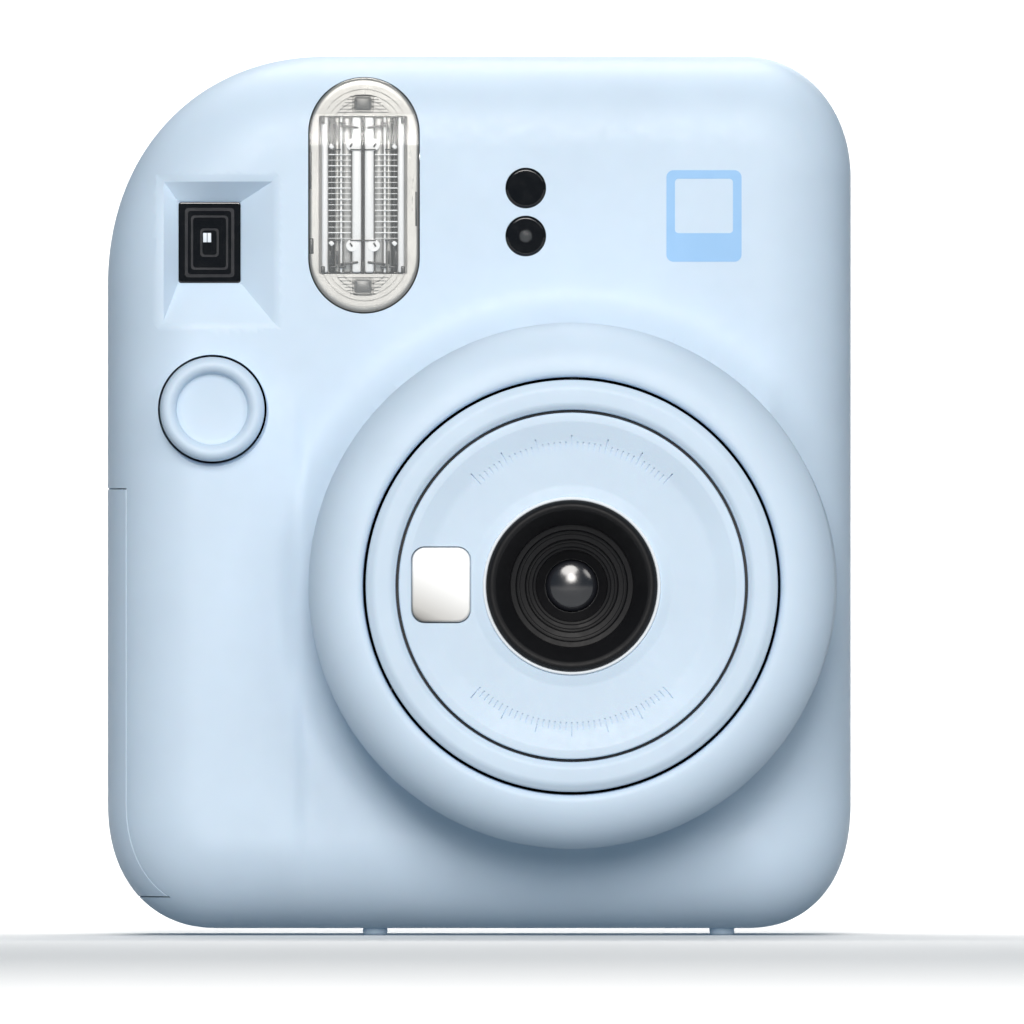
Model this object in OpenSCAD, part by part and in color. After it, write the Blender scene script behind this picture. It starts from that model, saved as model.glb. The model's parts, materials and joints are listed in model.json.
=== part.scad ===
// Instant camera: front, rear and door shells, rotating lens dome with a sliding barrel, flash, viewfinder,
// film chamber with developing rollers, and two round cells behind a hinged side cover.
// +Z is up, the lens looks along -Y, and the feet stand on Z = 0.

/* [Case] */
// Width of the case
body_w = 104; // [104:1:106]
// Height of the case above its feet
body_h = 122; // [122:1:123]
// Front plane of the case
front_y = -12.5; // [-12.5:0.1:-12.3]
// Rear plane of the case
rear_y = 31.8; // [31.6:0.1:31.9]
// Rounding between the front plane and the sides
front_round = 11.5; // [11:0.1:12]
// Rounding between the rear plane and the sides
rear_round = 8; // [7.5:0.1:8]
// Wall thickness of the shells
wall = 2; // [1.8:0.1:2.2]
// Height of the feet
foot_h = 1; // [0.8:0.1:1.2]

/* [Lens] */
// Lens axis, across
lens_x = 12.9; // [12.7:0.1:13.1]
// Lens axis, above the floor
lens_z = 48.95; // [48.8:0.05:49.1]
// Outer radius of the rotating dome
dome_r = 36.7; // [36.5:0.1:36.9]
// Bore radius of the dome
dome_bore = 29.1; // [29.1:0.1:29.2]
// Outer radius of the sliding barrel
barrel_r = 28.7; // [28.6:0.1:28.7]
// Travel of the barrel
barrel_travel = 8; // [7:0.5:8]
// Turn of the dome that drives the travel, in degrees
dome_turn = 60; // [60]

/* [Front controls] */
// Shutter button axis, across
button_x = -37.3; // [-37.5:0.1:-37.1]
// Shutter button axis, above the floor
button_z = 73.6; // [73.4:0.1:73.8]
// Radius of the shutter button
button_r = 7.3; // [7.1:0.1:7.4]
// Flash window axis, across
flash_x = -16.1; // [-16.2:0.1:-16]
// Flash window centre, above the floor
flash_z = 103.5; // [103.3:0.1:103.7]
// Viewfinder centre, across
finder_x = -37.7; // [-37.8:0.1:-37.6]
// Viewfinder centre, above the floor
finder_z = 96.9; // [96.8:0.1:97]

/* [Film] */
// Width of the cartridge space
film_w = 57.2; // [57:0.1:57.4]
// Film plane
film_y = 14.5; // [14.5:0.1:14.6]
// Roller axis, above the floor
roller_z = 106; // [106:0.1:106.5]
// Roller radius
roller_r = 3.7; // [3.6:0.1:3.7]

/* [Hidden] */

$fn = 64;
eps = 0.01;
big = 300;
case_color = "#C3D4E6";
dark = "#1E2026";
metal = "#B4B8BC";
parting_y = 22;
seam = 0.25;

// Corner rounding across, rounding up, and roundness exponent, anticlockwise from the top right.
corners = [[14.8, 17, 2.05], [31, 32.5, 2.15], [15.5, 17.8, 2.25], [14.8, 17.9, 2.3]];
side_x = [1, -1, -1, 1];
side_z = [1, 1, -1, -1];
corner_steps = 10;
edge_steps = 7;
mid_z = foot_h + body_h / 2;

door_left = -21;
door_low = 8;
door_high = 106;
door_pivot = [49.8, 13.5];
cover_pivot = [-49.8, 20];
cover_front = -8;
cover_low = 5.6;
cover_high = 62.3;
leaf_r = 3.5;
knuckle_r = 2;
pin_r = 1;
run_gap = 0.05;

cell_r = 7.25;
cell_len = 49.5;
cell_y = 8.5;
cell_x = [-41.6, -27];
cell_low = 12;
box_top = 63.1;

chamber_x = [lens_x - film_w / 2, lens_x + film_w / 2];
chamber_low = 10;
chamber_high = 99;
thin = 1.2;

gear_module = 0.6;
gear_x = 44.3;
gear_layer = 1.6;
roller_gap = 0.4;
drive_yz = [film_y + roller_r + roller_gap / 2, roller_z];
pressure_yz = [film_y - roller_r - roller_gap / 2, roller_z];
roller_teeth = 13;
idler_teeth = 26;
pinion_teeth = 10;
motor_yz = [5, 88.4];
motor_r = 5.5;

// ---- outline and loft of the case ----

function corner_point(i, step, inset) =
    let (
        c = corners[i],
        u = (i == 0 || i == 2) ? 90 * step / corner_steps : 90 - 90 * step / corner_steps,
        cx = side_x[i] * (body_w / 2 - c[0]),
        cz = mid_z + side_z[i] * (body_h / 2 - c[1])
    )
    [cx + side_x[i] * (c[0] - inset) * pow(cos(u), 2 / c[2]),
     cz + side_z[i] * (c[1] - inset) * pow(sin(u), 2 / c[2])];

function outline(inset) =
    [for (i = [0:3], step = [0:corner_steps]) corner_point(i, step, inset)];

// Rings from the rear plane round both edges to the front plane, as [inset, y].
function ring_list(shell) = concat(
    [for (k = [0:edge_steps])
        let (t = 90 * k / edge_steps, r = rear_round - shell)
        [shell + r * (1 - sin(t)), rear_y - shell - r * (1 - cos(t))]],
    [for (k = [0:edge_steps])
        let (t = 90 - 90 * k / edge_steps, r = front_round - shell)
        [shell + r * (1 - sin(t)), front_y + shell + r * (1 - cos(t))]]
);

module case_solid(shell) {
    rings = ring_list(shell);
    count = len(outline(0));
    points = [for (ring = rings) for (p = outline(ring[0])) [p[0], ring[1], p[1]]];
    sides = [for (k = [0:len(rings) - 2], j = [0:count - 1])
        let (a = k * count + j, b = k * count + (j + 1) % count)
        each [[a, b + count, b], [a, a + count, b + count]]];
    rear_cap = [for (j = [0:count - 1]) j];
    front_cap = [for (j = [count - 1:-1:0]) (len(rings) - 1) * count + j];
    polyhedron(points = points, faces = concat([rear_cap, front_cap], sides));
}

module case_shell() {
    difference() {
        case_solid(0);
        case_solid(wall);
    }
}

module half_space(y_low, y_high) {
    translate([-big / 2, y_low, -big / 2]) cube([big, y_high - y_low, big]);
}

// Places a shape drawn in x, up and forward on an axis that looks out of the front.
module facing(x, z) {
    translate([x, 0, z]) rotate([90, 0, 0]) children();
}

module tube(r_out, r_in, low, high) {
    translate([0, 0, low]) difference() {
        cylinder(r = r_out, h = high - low);
        translate([0, 0, -eps]) cylinder(r = r_in, h = high - low + 2 * eps);
    }
}

module block(low, high) {
    translate(low) cube(high - low);
}

module pill(length, r, h) {
    linear_extrude(h) {
        square([2 * r, length - 2 * r], center = true);
        for (s = [-1, 1]) translate([0, s * (length / 2 - r)]) circle(r);
    }
}

module rounded_plate(w, l, r, h) {
    linear_extrude(h) {
        square([w - 2 * r, l], center = true);
        square([w, l - 2 * r], center = true);
        for (sx = [-1, 1], sy = [-1, 1]) translate([sx * (w / 2 - r), sy * (l / 2 - r)]) circle(r);
    }
}

// ---- hinges of the film door and the battery cover ----

module door_zone(gap) {
    difference() {
        block([door_left - gap, door_pivot[1], door_low - gap], [big, big, door_high + gap]);
        translate([door_pivot[0], door_pivot[1], 0]) cylinder(r = leaf_r - gap, h = big);
    }
}

module cover_zone(gap) {
    difference() {
        block([-big, cover_front - gap, cover_low - gap], [-43, cover_pivot[1], cover_high + gap]);
        translate([cover_pivot[0], cover_pivot[1], 0]) cylinder(r = leaf_r - gap, h = big);
    }
}

door_knuckles = [[20, 30], [68, 78]];
cover_knuckles = [[28, 50]];
lug_len = 4;
notch_half = 2.45;

module knuckle(pivot, span, toward, reach) {
    difference() {
        union() {
            translate([pivot[0], pivot[1], span[0]]) cylinder(r = knuckle_r, h = span[1] - span[0]);
            block([pivot[0] - 1.2, pivot[1] + min(0, toward * reach), span[0]],
                  [pivot[0] + 1.2, pivot[1] + max(0, toward * reach), span[1]]);
        }
        translate([pivot[0], pivot[1], span[0] - eps])
            cylinder(r = pin_r + run_gap, h = span[1] - span[0] + 2 * eps);
    }
}

module lugs(pivot, spans) {
    for (span = spans, low = [span[0] - seam - lug_len, span[1] + seam])
        translate([pivot[0], pivot[1], low]) difference() {
            cylinder(r = knuckle_r, h = lug_len);
            translate([0, 0, -eps]) cylinder(r = pin_r, h = lug_len + 2 * eps);
        }
}

module knuckle_notches(pivot, spans) {
    for (span = spans)
        block([pivot[0] - 3, pivot[1] - notch_half, span[0] - seam],
              [pivot[0] + 3, pivot[1] + notch_half + 2, span[1] + seam]);
}

module cover_notches(pivot, spans) {
    for (span = spans)
        block([pivot[0] - 3, pivot[1] - notch_half - 2, span[0] - seam],
              [pivot[0] + 3, pivot[1] + notch_half, span[1] + seam]);
}

module pins(pivot, spans) {
    for (span = spans)
        translate([pivot[0], pivot[1], span[0] - seam - lug_len])
            cylinder(r = pin_r, h = span[1] - span[0] + 2 * (seam + lug_len));
}

module lug_bores(pivot, spans) {
    for (span = spans)
        translate([pivot[0], pivot[1], span[0] - seam - lug_len - eps])
            cylinder(r = pin_r, h = span[1] - span[0] + 2 * (seam + lug_len + eps));
}

// ---- screws, straps and other shared places ----

screw_places = [[-24, 118.6], [45.4, 115.6], [-47.6, 72], [-26, 5.2], [28, 5.2]];
screw_r = 1;
screw_head_y = 27.5;
boss_r = 2.7;
strap_z = 99;
strap_y = 4;

module screw_columns(y_low, y_high, r) {
    for (place = screw_places)
        facing(place[0], place[1]) translate([0, 0, -y_high]) cylinder(r = r, h = y_high - y_low);
}

module strap_windows() {
    for (s = [-1, 1])
        translate([s * (body_w / 2 - 3), strap_y, strap_z]) rotate([90, 0, 90])
            translate([0, 0, s > 0 ? -1 : -5])
            pill(9, 3.6, 6);
}

// Round base under the dome: a straight core with a flare where it leaves the flat front.
pedestal_front = 15.5;
pedestal_r = 37.4;
flare_r = 42.1;
flare_base = 11;
flare_side = 46;

module pedestal() {
    facing(lens_x, lens_z) cylinder(r1 = 39, r2 = pedestal_r, h = pedestal_front);
    intersection() {
        facing(lens_x, lens_z) translate([0, 0, flare_base])
            cylinder(r1 = flare_r, r2 = pedestal_r, h = pedestal_front - flare_base);
        block([-body_w, -pedestal_front - 1, 0], [flare_side, 0, body_h]);
    }
}

module grip_pad() {
    intersection() {
        translate([0, -1.2, 0]) case_solid(0.6);
        block([-60, -20, 2], [-25.1, -6, 76]);
    }
}

finder_recess = [[-44.6, 85.6], [-28.2, 105.7]];
finder_floor = 9.6;

module finder_recess_cut() {
    block([finder_recess[0][0], front_y - 5, finder_recess[0][1]],
          [finder_recess[1][0], -finder_floor, finder_recess[1][1]]);
}

module finder_pocket() {
    block([finder_recess[0][0] - 1.4, front_y + 1, finder_recess[0][1] - 1.4],
          [finder_recess[1][0] + 1.4, -finder_floor + 1.4, finder_recess[1][1] + 1.4]);
}

sensor_x = 6.5;
sensor_z = [104.5, 97.8];
sensor_r = 2.8;

module front_cover() {
    color(case_color) difference() {
        union() {
            difference() {
                union() {
                    intersection() {
                        case_solid(0);
                        half_space(-50, parting_y);
                    }
                    pedestal();
                    grip_pad();
                }
                case_solid(wall);
                facing(lens_x, lens_z) translate([0, 0, -5]) cylinder(r = 31.3, h = 40);
                door_zone(seam);
                cover_zone(seam);
            }
            intersection() {
                screw_columns(10, parting_y, boss_r);
                case_solid(0.5);
            }
            intersection() {
                finder_pocket();
                case_solid(0.5);
            }
            lugs(door_pivot, door_knuckles);
            lugs(cover_pivot, cover_knuckles);
        }
        finder_recess_cut();
        facing(finder_x, finder_z) translate([0, 0, 5]) rounded_plate(8.8, 11.4, 1, 12);
        facing(flash_x, flash_z) pill(33.2, 7.85, 20);
        facing(button_x, button_z) cylinder(r = button_r + 0.3, h = 25);
        for (z = sensor_z) facing(sensor_x, z) cylinder(r = sensor_r, h = 20);
        screw_columns(12, parting_y + 1, screw_r);
        knuckle_notches(door_pivot, door_knuckles);
        cover_notches(cover_pivot, cover_knuckles);
        lug_bores(door_pivot, door_knuckles);
        lug_bores(cover_pivot, cover_knuckles);
        strap_windows();
        block([chamber_x[0], film_y - 2.1, 115], [chamber_x[1], film_y + 2.5, 130]);
    }
}

latch_x = -26.5;
latch_z = 55;

module rear_cover() {
    color(case_color) difference() {
        union() {
            intersection() {
                case_shell();
                half_space(parting_y, 60);
            }
            intersection() {
                screw_columns(parting_y, rear_y, boss_r + 0.6);
                case_solid(0.3);
                half_space(parting_y, 60);
            }
            block([latch_x - 2.5, rear_y - 6, latch_z - 16], [latch_x + 2.5, rear_y - 1, latch_z - 14.8]);
        }
        door_zone(seam);
        screw_columns(parting_y - 1, rear_y + 1, screw_r + 0.1);
        screw_columns(screw_head_y, rear_y + 5, 2.1);
        facing(finder_x, finder_z) translate([0, 0, -rear_y - 5]) rounded_plate(9.4, 12, 1.5, 12);
        block([latch_x - 2.2, rear_y - 5, latch_z - 10], [latch_x + 2.2, rear_y + 5, latch_z + 7]);
    }
}

module film_door() {
    color(case_color) difference() {
        union() {
            intersection() {
                case_shell();
                door_zone(0);
            }
            for (span = door_knuckles) knuckle(door_pivot, span, 1, 4.2);
            for (span = door_knuckles) block([48.6, 17.2, span[0]], [50.6, 19.5, span[1]]);
        }
        facing(lens_x + 14, 62) translate([0, 0, -rear_y - 5]) pill(22, 3.2, 20);
        facing(-8, 24) translate([0, 0, -rear_y - 5]) cylinder(r = 3.6, h = 20);
    }
}

module door_hinge_pins() {
    color(metal) pins(door_pivot, door_knuckles);
}

module door_latch() {
    color(case_color) difference() {
        union() {
            block([latch_x - 1.9, rear_y - 2.6, latch_z - 6.5], [latch_x + 1.9, rear_y + 1, latch_z + 6.5]);
            block([latch_x - 3.4, rear_y - 4.2, latch_z - 6.5], [latch_x + 3.4, rear_y - 2.5, latch_z + 6.5]);
            block([latch_x + 3.3, rear_y - 4.2, latch_z - 3], [door_left - 0.4, rear_y - 2.5, latch_z + 3]);
        }
        for (i = [-2:2])
            block(
                [latch_x - 3, rear_y + 0.5, latch_z + 2 * i - 0.4],
                [latch_x + 3, rear_y + 2, latch_z + 2 * i + 0.4]
            );
    }
}

module door_latch_spring() {
    color(metal) translate([latch_x, rear_y - 3.7, latch_z - 14.8]) {
        for (i = [0:6]) translate([0, 0, i * 1.15]) tube(1.5, 1, 0, 0.55);
    }
}

module film_window() {
    color("#F2F5F7", 0.6) facing(lens_x + 14, 62) translate([0, 0, -rear_y + 0.3]) pill(22, 3.2, 1.5);
}

module counter_window() {
    color("#F2F5F7", 0.6) facing(-8, 24) translate([0, 0, -rear_y + 0.3]) cylinder(r = 3.6, h = 1.2);
}

counter_axis = [-8, 20];

module counter_wheel() {
    wheel_h = -rear_y + wall + 0.4;
    color("white") facing(counter_axis[0] + 2, counter_axis[1] + 1) translate([0, 0, wheel_h]) difference() {
        cylinder(r = 7.5, h = 1);
        translate([0, 0, -eps]) cylinder(r = 0.8 + run_gap, h = 2);
    }
}

module film_pressure_springs() {
    color(metal) {
        for (x = [lens_x - 14, lens_x + 8]) {
            block([x, 28, 34], [x + 5, 28.4, 66]);
            for (z = [34, 63]) block([x, 28.4, z], [x + 5, rear_y - wall, z + 3]);
        }
        facing(counter_axis[0] + 2, counter_axis[1] + 1)
            translate([0, 0, -rear_y + wall]) cylinder(r = 0.8, h = 2);
    }
}

module battery_cover() {
    color(case_color) {
        intersection() {
            case_shell();
            cover_zone(0);
        }
        for (span = cover_knuckles) knuckle(cover_pivot, span, -1, 4.2);
    }
}

module battery_cover_pin() {
    color(metal) pins(cover_pivot, cover_knuckles);
}

module battery_box() {
    color(dark) {
        block([-18.9, 0.4, 9.5], [-17.9, 16.6, box_top + 1]);
        for (z = [9.5, box_top]) block([-45, 0.4, z], [-18.9, 16.6, z + 1]);
        for (y = [0.4, 15.9]) block([-45, y, 10.5], [-18.9, y + 0.7, box_top]);
    }
}

module battery_cells() {
    color("#3E5F8A") for (i = [0, 1]) translate([cell_x[i], cell_y, cell_low]) {
        cylinder(r = cell_r - 0.05, h = cell_len);
        translate([0, 0, i == 0 ? cell_len : -1]) cylinder(r = 2.7, h = 1);
    }
}

module battery_springs() {
    color(metal) for (i = [0, 1]) {
        z = i == 0 ? 10.85 : cell_low + cell_len;
        translate([cell_x[i], cell_y, z])
            for (k = [0:1]) tube(3.4 - k * 0.8, 2.8 - k * 0.8, k * 0.55, k * 0.55 + 0.6);
    }
}

module battery_contacts() {
    color(metal) for (i = [0, 1], z = [10.5, box_top - 0.4])
        block([cell_x[i] - 4, cell_y - 4, z], [cell_x[i] + 4, cell_y + 4, z + 0.35]);
}

// ---- lens ----

dome_base = 15.8;
dome_front = 31.6;

function dome_curve() = [for (k = [0:12])
    let (t = 90 * k / 12)
    [dome_bore + 0.9 + (dome_r - dome_bore - 0.9) * pow(cos(t), 0.86),
     dome_base + 0.6 + (dome_front - dome_base - 0.6) * pow(sin(t), 0.86)]];

module lens_dome() {
    color(case_color) facing(lens_x, lens_z) rotate_extrude($fn = 128) polygon(concat(
        [[31, 11.5], [31, dome_base], [31, 26], [33, 26], [34.6, dome_base], [dome_r, dome_base]],
        dome_curve(),
        [[dome_bore, dome_front - 0.8], [dome_bore, 11.5]]
    ));
}

pin_angles = [90, 210, 330];
key_angles = [30, 150, 270];
pin_rest = 2;

module cam_slot() {
    steps = 6;
    rise = barrel_travel / steps;
    turn = dome_turn / steps;
    run = 30 * 2 * sin(turn / 2);
    length = sqrt(run * run + rise * rise);
    tilt = atan2(rise, run);
    for (i = [0:steps]) rotate([0, 0, -i * turn]) translate([27, 0, pin_rest + i * rise])
        rotate([0, 90, 0]) cylinder(r = 1.3, h = 8);
    for (i = [0:steps - 1]) rotate([0, 0, -(i + 0.5) * turn]) translate([27, 0, pin_rest + (i + 0.5) * rise])
        rotate([-tilt, 0, 0]) translate([0, -length / 2, -1.3]) cube([8, length, 2.6]);
}

module cam_ring() {
    color(dark) facing(lens_x, lens_z) difference() {
        union() {
            tube(31, dome_bore, -0.1, 11.5);
            tube(32.6, 30, 7.9, 8.8);
        }
        for (a = pin_angles) rotate([0, 0, a]) cam_slot();
    }
}

module lens_barrel() {
    color(case_color) facing(lens_x, lens_z) difference() {
        rotate_extrude($fn = 128) polygon([
            [26.6, 0.6], [barrel_r, 0.6], [barrel_r, 31.6], [28.3, 32.3], [27.2, 32.8], [25.4, 32.8],
            [24.7, 32.4],
            [24.5, 31.8], [24.5, 29.6], [22.5, 29.6], [22.5, 28.2], [26.6, 28.2]
        ]);
        for (a = pin_angles)
            rotate([0, 0, a]) translate([26, 0, pin_rest]) rotate([0, 90, 0]) cylinder(r = 1, h = 4);
        for (a = key_angles) rotate([0, 0, a]) translate([26, -1.6, -2]) cube([1.6, 3.2, 28]);
    }
}

module cam_pins() {
    color(metal) facing(lens_x, lens_z) for (a = pin_angles)
        rotate([0, 0, a]) translate([26.8, 0, pin_rest]) rotate([0, 90, 0]) cylinder(r = 1, h = 4);
}

mirror_at = [-18.2, 0.15];

module lens_face() {
    color(case_color) facing(lens_x, lens_z) difference() {
        rotate_extrude($fn = 128) polygon([
            [12, 29.6], [24.2, 29.6], [24.2, 32], [23.8, 32.4], [22.6, 32.2], [19, 31.9], [14, 31.8],
            [12, 31.8]
        ]);
        translate([mirror_at[0], mirror_at[1], 30.8]) rounded_plate(8.6, 11.3, 2, 5);
    }
}

module selfie_mirror() {
    color("silver") facing(lens_x, lens_z)
        translate([mirror_at[0], mirror_at[1], 30.8]) rounded_plate(8.1, 10.4, 1.8, 1.5);
}

module lens_cone() {
    color(dark) facing(lens_x, lens_z) rotate_extrude($fn = 96) polygon([
        [4.6, 23], [11.9, 23], [11.9, 32.6], [11.5, 33.3], [10.6, 33.3], [9.9, 32], [9.9, 30.6], [8.6, 30.2],
        [8.6, 29.2], [7.4, 28.8], [7.4, 27.9], [6.2, 27.5], [6.2, 26.8], [5, 26.4], [4.6, 26.4]
    ]);
}

module front_lens() {
    color("#35304A") facing(lens_x, lens_z) rotate_extrude() polygon(concat(
        [[0, 23], [4.5, 23]],
        [for (k = [0:6]) let (r = 4.5 - 0.75 * k) [r, 25.6 - 1.1 * r * r / 20.25]]
    ));
}

module rear_lens() {
    color("#35304A") facing(lens_x, lens_z) rotate_extrude() polygon(concat(
        [[0, 16], [4, 16]],
        [for (k = [0:6]) let (r = 4 - k * 4 / 6) [r, 17.8 - 0.8 * r * r / 16]]
    ));
}

blade_pivot_x = 9;
blade_post_r = 0.8;

module shutter_plate() {
    color(dark) facing(lens_x, lens_z) {
        difference() {
            union() {
                translate([0, 0, 21.5]) cylinder(r = 22.3, h = 1.5);
                for (s = [-1, 1]) translate([s * blade_pivot_x, 0, 19.4]) cylinder(r = blade_post_r, h = 2.2);
                tube(6, 5, 18.3 - 0.4, 19.3);
            }
            translate([0, 0, 20]) cylinder(r = 2.5, h = 5);
        }
        for (a = [45:90:315]) rotate([0, 0, a]) translate([20.5, 0, 23]) cylinder(r = 1.8, h = 6.6);
        tube(5, 4, 15.8, 18.9);
        for (a = [0:120:240]) rotate([0, 0, a + 30]) translate([5.5, -0.6, 18]) cube([5, 1.2, 0.9]);
        for (a = [0:120:240]) rotate([0, 0, a + 30]) translate([9.5, -0.6, 18]) cube([1.5, 1.2, 3.6]);
    }
}

module shutter_blade(side, level) {
    difference() {
        linear_extrude(0.35) {
            circle(4);
            translate([side > 0 ? 0 : -blade_pivot_x, -1.2]) square([blade_pivot_x, 2.4]);
            translate([side * blade_pivot_x, 0]) circle(1.6);
        }
        translate([side * blade_pivot_x, 0, -1]) cylinder(r = blade_post_r + run_gap, h = 3);
    }
}

module shutter_blade_left() {
    color("#3A3C40") facing(lens_x, lens_z) translate([0, 0, 20.9]) shutter_blade(-1);
}

module shutter_blade_right() {
    color("#3A3C40") facing(lens_x, lens_z) translate([0, 0, 20.2]) shutter_blade(1);
}

module shutter_solenoid() {
    color("#8A5A30") facing(lens_x, lens_z) translate([0, -17, 18]) {
        block([-5, -2.5, 0], [5, 2.5, 3.5]);
    }
}

module guide_tube() {
    color(dark) facing(lens_x, lens_z) difference() {
        union() {
            translate([0, 0, 1.6]) cylinder(r = 26.2, h = 14.4);
            for (a = key_angles) rotate([0, 0, a]) translate([25.5, -1.2, 2]) cube([1.6, 2.4, 13.6]);
        }
        cylinder(r = 24.9, h = 20);
    }
}

window_w = 46;
window_l = 62;

module cone_body(grow) {
    hull() {
        facing(lens_x, lens_z) translate([0, 0, 10]) linear_extrude(eps) square(18 + grow, center = true);
        facing(lens_x, lens_z) translate([0, 0, -11.5]) linear_extrude(eps)
            square([window_w + grow, window_l + grow], center = true);
    }
}

module light_cone() {
    color(dark) difference() {
        union() {
            cone_body(2.4);
            facing(lens_x, lens_z) cylinder(r = 26.2, h = 1.6);
        }
        cone_body(0);
        facing(lens_x, lens_z) translate([0, 0, 5]) cylinder(r = 8.9, h = 10);
        facing(lens_x, lens_z)
            translate([0, 0, -12]) linear_extrude(1) square([window_w, window_l], center = true);
    }
}

module film_chamber() {
    color(dark) difference() {
        block([chamber_x[0] - thin, 11.5, chamber_low - thin], [chamber_x[1] + thin, 28, chamber_high]);
        block([chamber_x[0], 12.9, chamber_low], [chamber_x[1], 30, chamber_high + 1]);
        facing(lens_x, lens_z)
            translate([0, 0, -14]) linear_extrude(4) square([window_w, window_l], center = true);
    }
}

// ---- flash and finder ----

module flash_lens() {
    color("#E8EEF4", 0.5) difference() {
        intersection() {
            facing(flash_x, flash_z) pill(32.8, 7.65, 20);
            translate([0, -0.3, 0]) case_solid(0);
        }
        translate([0, -0.2, 0]) case_solid(wall);
    }
}

module flash_reflector() {
    color("silver") facing(flash_x, flash_z) difference() {
        translate([0, -1, 2]) rounded_plate(13.5, 24, 2, 6.2);
        translate([0, -1, 3.4]) rounded_plate(11.9, 22.2, 1.5, 6);
    }
}

module flash_tube() {
    color("#DDE6EE", 0.6) facing(flash_x, flash_z)
        translate([0, -12, 5]) rotate([-90, 0, 0]) cylinder(r = 1.4, h = 22);
}

module flash_capacitor() {
    color("#2B2B30") translate([-26.2, 5, 69.5]) cylinder(r = 6, h = 14);
}

module flash_board() {
    color("#2F6B45") block([-24, -1, 88], [-9.5, 0.6, 118]);
}

module viewfinder_window() {
    color("#15161A") facing(finder_x, finder_z) translate([0, 0, 8.2]) rounded_plate(8.6, 11.2, 0.9, 1.8);
}

module viewfinder_tunnel() {
    color(dark) facing(finder_x, finder_z) difference() {
        translate([0, 0, -29.3]) rounded_plate(11.4, 14, 1, 37.4);
        translate([0, 0, -31]) rounded_plate(8.4, 11, 0.8, 42);
    }
}

module viewfinder_eyepiece() {
    color(dark) facing(finder_x, finder_z) difference() {
        translate([0, 0, -33.3]) rounded_plate(9.2, 11.8, 1.4, 4);
        translate([0, 0, -34]) rounded_plate(6, 8.4, 1, 3);
    }
}

module exposure_sensor_window() {
    color("#15161A") facing(sensor_x, sensor_z[0])
        translate([0, 0, 10]) cylinder(r = sensor_r - 0.05, h = 2.7);
}

module flash_sensor_window() {
    color("#15161A") facing(sensor_x, sensor_z[1])
        translate([0, 0, 10]) cylinder(r = sensor_r - 0.05, h = 2.7);
}

module sensor_board() {
    color("#2F6B45") facing(sensor_x, 101.15) translate([0, 0, 8.4]) rounded_plate(12, 16, 1, 1.4);
}

// ---- button ----

module shutter_button() {
    color(case_color) facing(button_x, button_z) rotate_extrude() polygon([
        [0, 4.5], [2, 4.5], [2, 11.6], [4.4, 11.6], [4.4, 11], [button_r, 11], [button_r, 15.1], [7, 15.8],
        [6.5, 16.1], [6, 16], [5.4, 15.4], [5, 14.9], [0, 14.6]
    ]);
}

module button_spring() {
    color(metal) facing(button_x, button_z) for (k = [0:4]) tube(3.2, 2.6, 6 + 1.1 * k, 6.55 + 1.1 * k);
}

module shutter_switch() {
    color(dark) facing(button_x, button_z) {
        block([-5, -4, -2.5], [5, 4, 2.4]);
        tube(3.4, 2.4, 2.4, 6);
    }
}

module main_board() {
    color("#2F6B45") block([-33, -5.2, 12], [-19.5, -3.6, 64]);
}

// ---- film drive ----

function gear_points(teeth) =
    let (pitch_r = gear_module * teeth / 2)
    let (tip = pitch_r + gear_module * 0.8, root = pitch_r - gear_module * 1.15)
    [for (i = [0:teeth - 1])
        let (a = 360 * i / teeth, s = 360 / teeth)
        each [
            [root * cos(a - 0.27 * s), root * sin(a - 0.27 * s)],
            [pitch_r * cos(a - 0.2 * s), pitch_r * sin(a - 0.2 * s)],
            [tip * cos(a - 0.09 * s), tip * sin(a - 0.09 * s)],
            [tip * cos(a + 0.09 * s), tip * sin(a + 0.09 * s)],
            [pitch_r * cos(a + 0.2 * s), pitch_r * sin(a + 0.2 * s)],
            [root * cos(a + 0.27 * s), root * sin(a + 0.27 * s)]
        ]];

// A gear with its axis along X; turned so that a tooth points at angle `phase` in the Y, Z plane.
module gear(yz, teeth, x_low, width, bore, phase) {
    translate([x_low, yz[0], yz[1]]) rotate([90, 0, 90]) difference() {
        rotate([0, 0, phase]) linear_extrude(width) polygon(gear_points(teeth));
        translate([0, 0, -eps]) cylinder(r = bore, h = width + 2 * eps);
    }
}

function length2(v) = sqrt(v[0] * v[0] + v[1] * v[1]);

// Idler centre from its two centre distances.
idler_a = gear_module * (roller_teeth + idler_teeth) / 2;
idler_b = gear_module * (idler_teeth + pinion_teeth) / 2;
train = motor_yz - drive_yz;
train_angle = atan2(train[1], train[0]);
idler_angle = train_angle + acos((idler_a * idler_a + length2(train) * length2(train) - idler_b * idler_b)
    / (2 * idler_a * length2(train)));
idler_yz = drive_yz + idler_a * [cos(idler_angle), sin(idler_angle)];
pinion_angle = atan2(motor_yz[1] - idler_yz[1], motor_yz[0] - idler_yz[0]);
drive_phase = 180;
idler_phase = idler_angle + 180 + 180 / idler_teeth
    + (idler_angle - drive_phase) * roller_teeth / idler_teeth;
pinion_phase = pinion_angle + 180 + 180 / pinion_teeth
    + (pinion_angle - idler_phase) * idler_teeth / pinion_teeth;

module drive_roller() {
    color(dark) translate([0, drive_yz[0], drive_yz[1]]) rotate([0, 90, 0]) {
        translate([0, 0, chamber_x[0] + 1]) cylinder(r = roller_r, h = film_w - 2);
        translate([0, 0, chamber_x[0] - 1.4]) cylinder(r = 1.2, h = 64.9);
    }
}

module pressure_roller() {
    color(metal) translate([0, pressure_yz[0], pressure_yz[1]]) rotate([0, 90, 0]) {
        translate([0, 0, chamber_x[0] + 1]) cylinder(r = roller_r, h = film_w - 2);
        translate([0, 0, chamber_x[0] - 1.4]) cylinder(r = 1.2, h = 63);
    }
}

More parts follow.
